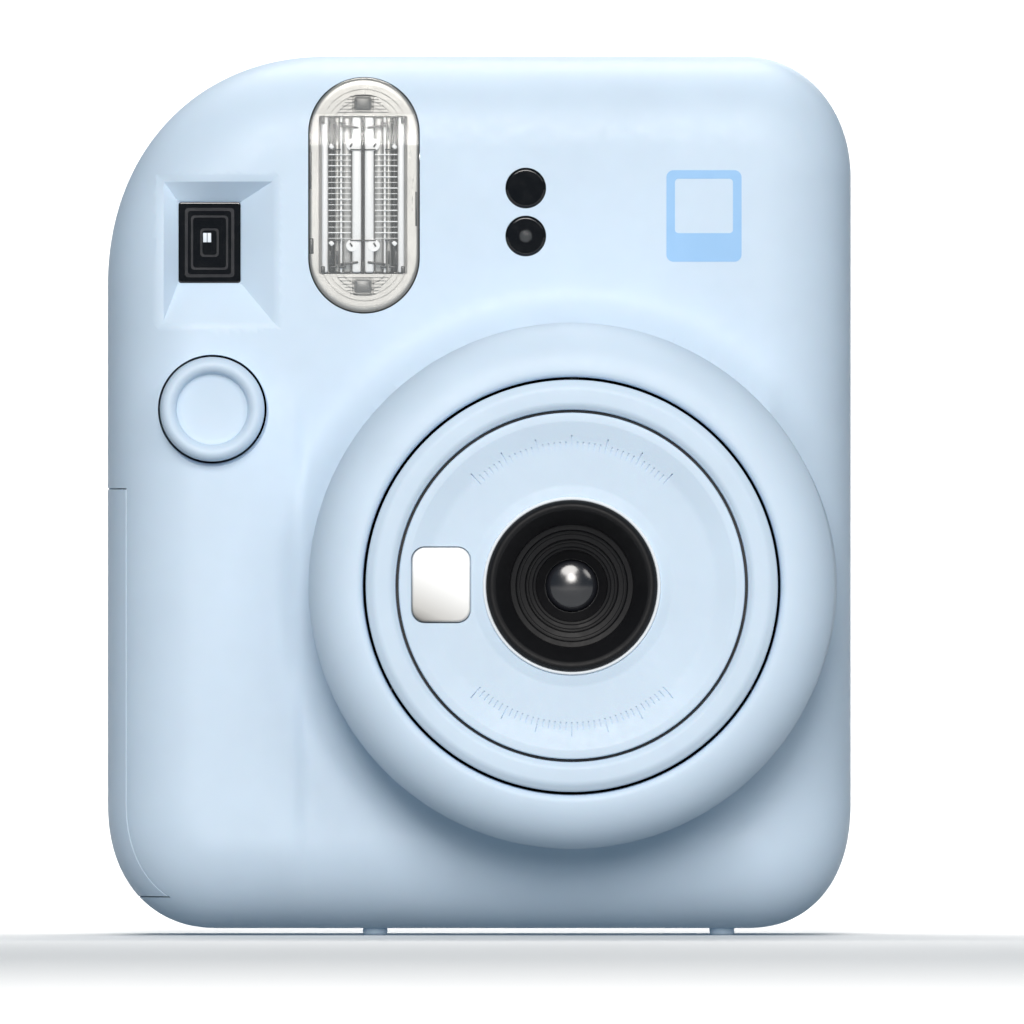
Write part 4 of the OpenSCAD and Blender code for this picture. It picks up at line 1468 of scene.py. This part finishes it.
@dataclass
class RearDetails:
    """Eyepiece, film window, counter window, latch and feet."""

    def build(self) -> None:
        """Makes every piece."""
        self.eyepiece()
        self.windows()
        self.latch()
        self.feet()

    def eyepiece(self) -> None:
        """The eyepiece's soft frame and its lens."""
        centre = middle("viewfinder_eyepiece")
        frame = solid(slab(plate_outline(9.2, 11.8, 1.4), centre, -33.3, -29.3), "frame")
        hole = solid(slab(plate_outline(6.0, 8.4, 1.0), centre, -40.0, -31.0), "hole")
        carve(frame, hole, Side.CUT)
        discard(hole)
        frame.name = "eyepiece_frame"
        Dress("case", BLACK, ("viewfinder_eyepiece",)).put_on(frame)
        glass = slab(plate_outline(5.9, 8.3, 0.9), centre, -31.6, -31.0)
        piece(glass, "eyepiece_glass", Dress("case", GLOSS))

    def windows(self) -> None:
        """The clear film window and counter window in the door."""
        film = slab(pill_outline(22.0, 3.2), middle("film_window"), -31.5, -30.0)
        piece(film, "film_window_skin", Dress("door", GLOSS, ("film_window",)))
        corners = [(0, -31.6, 0), (3.6, -31.6, 0.2), (3.6, -30.3, 0), (0, -30.3, 0)]
        piece(lathe(rounded_path(corners), middle("counter_window"), 64, loop=False), "counter_window_skin",
              Dress("door", CLEAR, ("counter_window",)))

    def latch(self) -> None:
        """The ribbed latch slider."""
        low, high = place("door_latch")
        x = low.x + 3.4
        middle_z = (low.z + high.z) / 2
        seat = low.z + 3.3
        body = [box((x - 1.9, high.y - 3.1, low.z), (x + 1.9, high.y - 0.3, high.z), 0.35)]
        ribs = [middle_z + 1.7 * k for k in range(-3, 4)]
        body += [box((x - 1.7, high.y - 0.5, z - 0.35), (x + 1.7, high.y, z + 0.35), 0.15) for z in ribs]
        body.append(box((x - 1.7, high.y - 3.7, seat), (x + 1.7, high.y - 2.9, high.z), 0.1))
        body.append(box((low.x, low.y, seat), (high.x, low.y + 1.7, high.z), 0.1))
        body += [
            box((left, low.y, low.z), (left + 1.6, low.y + 1.7, seat + 0.2), 0.1)
            for left in (low.x, x + 1.8)
        ]
        piece(merged(body), "door_latch_skin", Dress("latch", CASE, ("door_latch",)))

    def feet(self) -> None:
        """Four small pads with soft edges."""
        places = [
            Vector((-14.6, 1.5, 0)), Vector((34, 1.5, 0)), Vector((-14.6, 19.5, 0)), Vector((34, 19.5, 0))
        ]
        pads = []
        for place_ in places:
            bm = slab(pill_outline(6.0, 1.7, 16), Vector((0, 0, 0)), -1.2, 0.0, rim=0.45)
            bmesh.ops.rotate(
                bm, verts=bm.verts, cent=(0, 0, 0), matrix=Matrix.Rotation(math.pi / 2, 3, "X")
            )
            bmesh.ops.translate(bm, verts=bm.verts, vec=place_)
            pads.append(bm)
        piece(merged(pads), "feet_skin", Dress("case", CASE, ("feet",)))


def dress_nodes() -> None:
    """Gives every CAD node that still shows a finish for its slot."""
    by_slot = {finish.slot: finish for finish in NODE_FINISHES}
    for part in FRAME["record"]["subparts"]:
        obj = FRAME["nodes"][part["node"]]
        obj.data.materials.clear()
        obj.data.materials.append(PAINT.get(by_slot[part["material_slot"]]))


# ---------------------------------------------------------------- studio


@dataclass
class Studio:
    """Camera, floor, backdrop and lights."""

    distance: float = 6.0
    view_width: float = 0.14336
    aim: tuple[float, float, float] = (0.00458, 0.0, 0.05924)
    sensor: float = 36.0
    floor_front: float = -3.0
    bend_start: float = 0.7
    bend: float = 0.1
    wall_top: float = 0.2
    half_width: float = 2.5
    lamp_colour: tuple[float, float, float] = (1.0, 0.965, 0.93)

    def build(self) -> None:
        """Makes the stage."""
        self.camera()
        self.floor()
        self.lights()
        bpy.context.scene.view_settings.view_transform = "Standard"

    def camera(self) -> None:
        """A long lens looking straight at the front."""
        data = bpy.data.cameras.new("camera")
        data.sensor_width = self.sensor
        data.lens = self.sensor * self.distance / self.view_width
        data.clip_end = 50.0
        obj = bpy.data.objects.new("camera", data)
        obj.location = (self.aim[0], -self.distance, self.aim[2])
        obj.rotation_euler = (math.pi / 2, 0, 0)
        bpy.context.scene.collection.objects.link(obj)
        bpy.context.scene.camera = obj

    def floor(self) -> None:
        """A pale floor that curves up into a backdrop."""
        bm = bmesh.new()
        path = [(self.floor_front, 0.0)]
        path += [
            (self.bend_start + self.bend * math.sin(a), self.bend - self.bend * math.cos(a))
            for a in (math.pi / 2 * k / 16 for k in range(17))
        ]
        path.append((self.bend_start + self.bend, self.wall_top))
        verts = [bm.verts.new((-self.half_width, y, z)) for y, z in path]
        edges = [bm.edges.new(pair) for pair in zip(verts, verts[1:])]
        wall = bmesh.ops.extrude_edge_only(bm, edges=edges)["geom"]
        bmesh.ops.translate(
            bm, verts=[g for g in wall if isinstance(g, bmesh.types.BMVert)], vec=(2 * self.half_width, 0, 0)
        )
        bmesh.ops.recalc_face_normals(bm, faces=bm.faces)
        mesh = bpy.data.meshes.new("backdrop")
        bm.to_mesh(mesh)
        bm.free()
        mesh.polygons.foreach_set("use_smooth", [True] * len(mesh.polygons))
        mesh.materials.append(
            PAINT.get(Finish("paper", "white_plastic", (0.93, 0.93, 0.93), 0.9, drift=0.004))
        )
        obj = bpy.data.objects.new("backdrop", mesh)
        bpy.context.scene.collection.objects.link(obj)
        # The floor sends no soft bounce upwards, so the underside of the case stays in shade.
        obj.visible_diffuse = False

    def lights(self) -> None:
        """Soft boxes above, in front and behind, and a pale surround."""
        world = bpy.data.worlds.new("surround")
        world.use_nodes = True
        world.node_tree.nodes["Background"].inputs["Color"].default_value = (0.62, 0.83, 1.0, 1)
        world.node_tree.nodes["Background"].inputs["Strength"].default_value = 0.21
        bpy.context.scene.world = world
        self.area("key", (-0.1, -1.5, 0.8), (0.0, 0.0, 0.06), 0.75, 17.0)
        self.area("front", (0.0, -2.4, 0.5), (0.0, 0.0, 0.06), 0.5, 12.5)
        self.area("accent", (0.95, -1.5, 0.8), (0.0, 0.0, 0.06), 0.6, 4.5)
        self.area("wash", (0.0, 0.3, 0.6), (0.0, 0.8, 0.08), 0.5, 7.5)
        self.area("rear", (0.3, 2.0, 0.75), (0.0, 0.0, 0.06), 0.6, 4.0)

    def area(self, name: str, at: Sequence[float], to: Sequence[float], size: float, power: float) -> None:
        """Adds one soft box.

        Args:
            name: Name of the light.
            at: Where it stands.
            to: Where it points.
            size: Width of the disc.
            power: Power in watts.
        """
        data = bpy.data.lights.new(name, "AREA")
        data.shape = "DISK"
        data.size = size
        data.energy = power
        data.color = self.lamp_colour
        obj = bpy.data.objects.new(name, data)
        obj.location = at
        obj.rotation_euler = (Vector(to) - Vector(at)).to_track_quat("-Z", "Y").to_euler()
        bpy.context.scene.collection.objects.link(obj)


def main() -> None:
    """Builds the camera, sub-assembly by sub-assembly."""
    logging.basicConfig(level=logging.INFO, format="%(name)s: %(message)s")
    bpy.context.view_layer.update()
    studio = Studio()
    studio.build()
    form = CaseForm()
    dress_nodes()
    CaseShells(form).build()
    LensGroup().build()
    FrontControls().build()
    Flash().build(form)
    RearDetails().build()


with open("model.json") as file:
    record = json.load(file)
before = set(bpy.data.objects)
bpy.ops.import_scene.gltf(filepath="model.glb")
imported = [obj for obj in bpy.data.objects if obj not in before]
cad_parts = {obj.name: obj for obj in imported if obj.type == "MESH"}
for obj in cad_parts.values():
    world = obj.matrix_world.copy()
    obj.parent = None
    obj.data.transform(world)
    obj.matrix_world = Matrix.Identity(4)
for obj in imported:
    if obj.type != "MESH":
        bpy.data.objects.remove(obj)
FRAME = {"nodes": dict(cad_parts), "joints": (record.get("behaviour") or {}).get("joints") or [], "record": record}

if __name__ == "__main__":
    main()
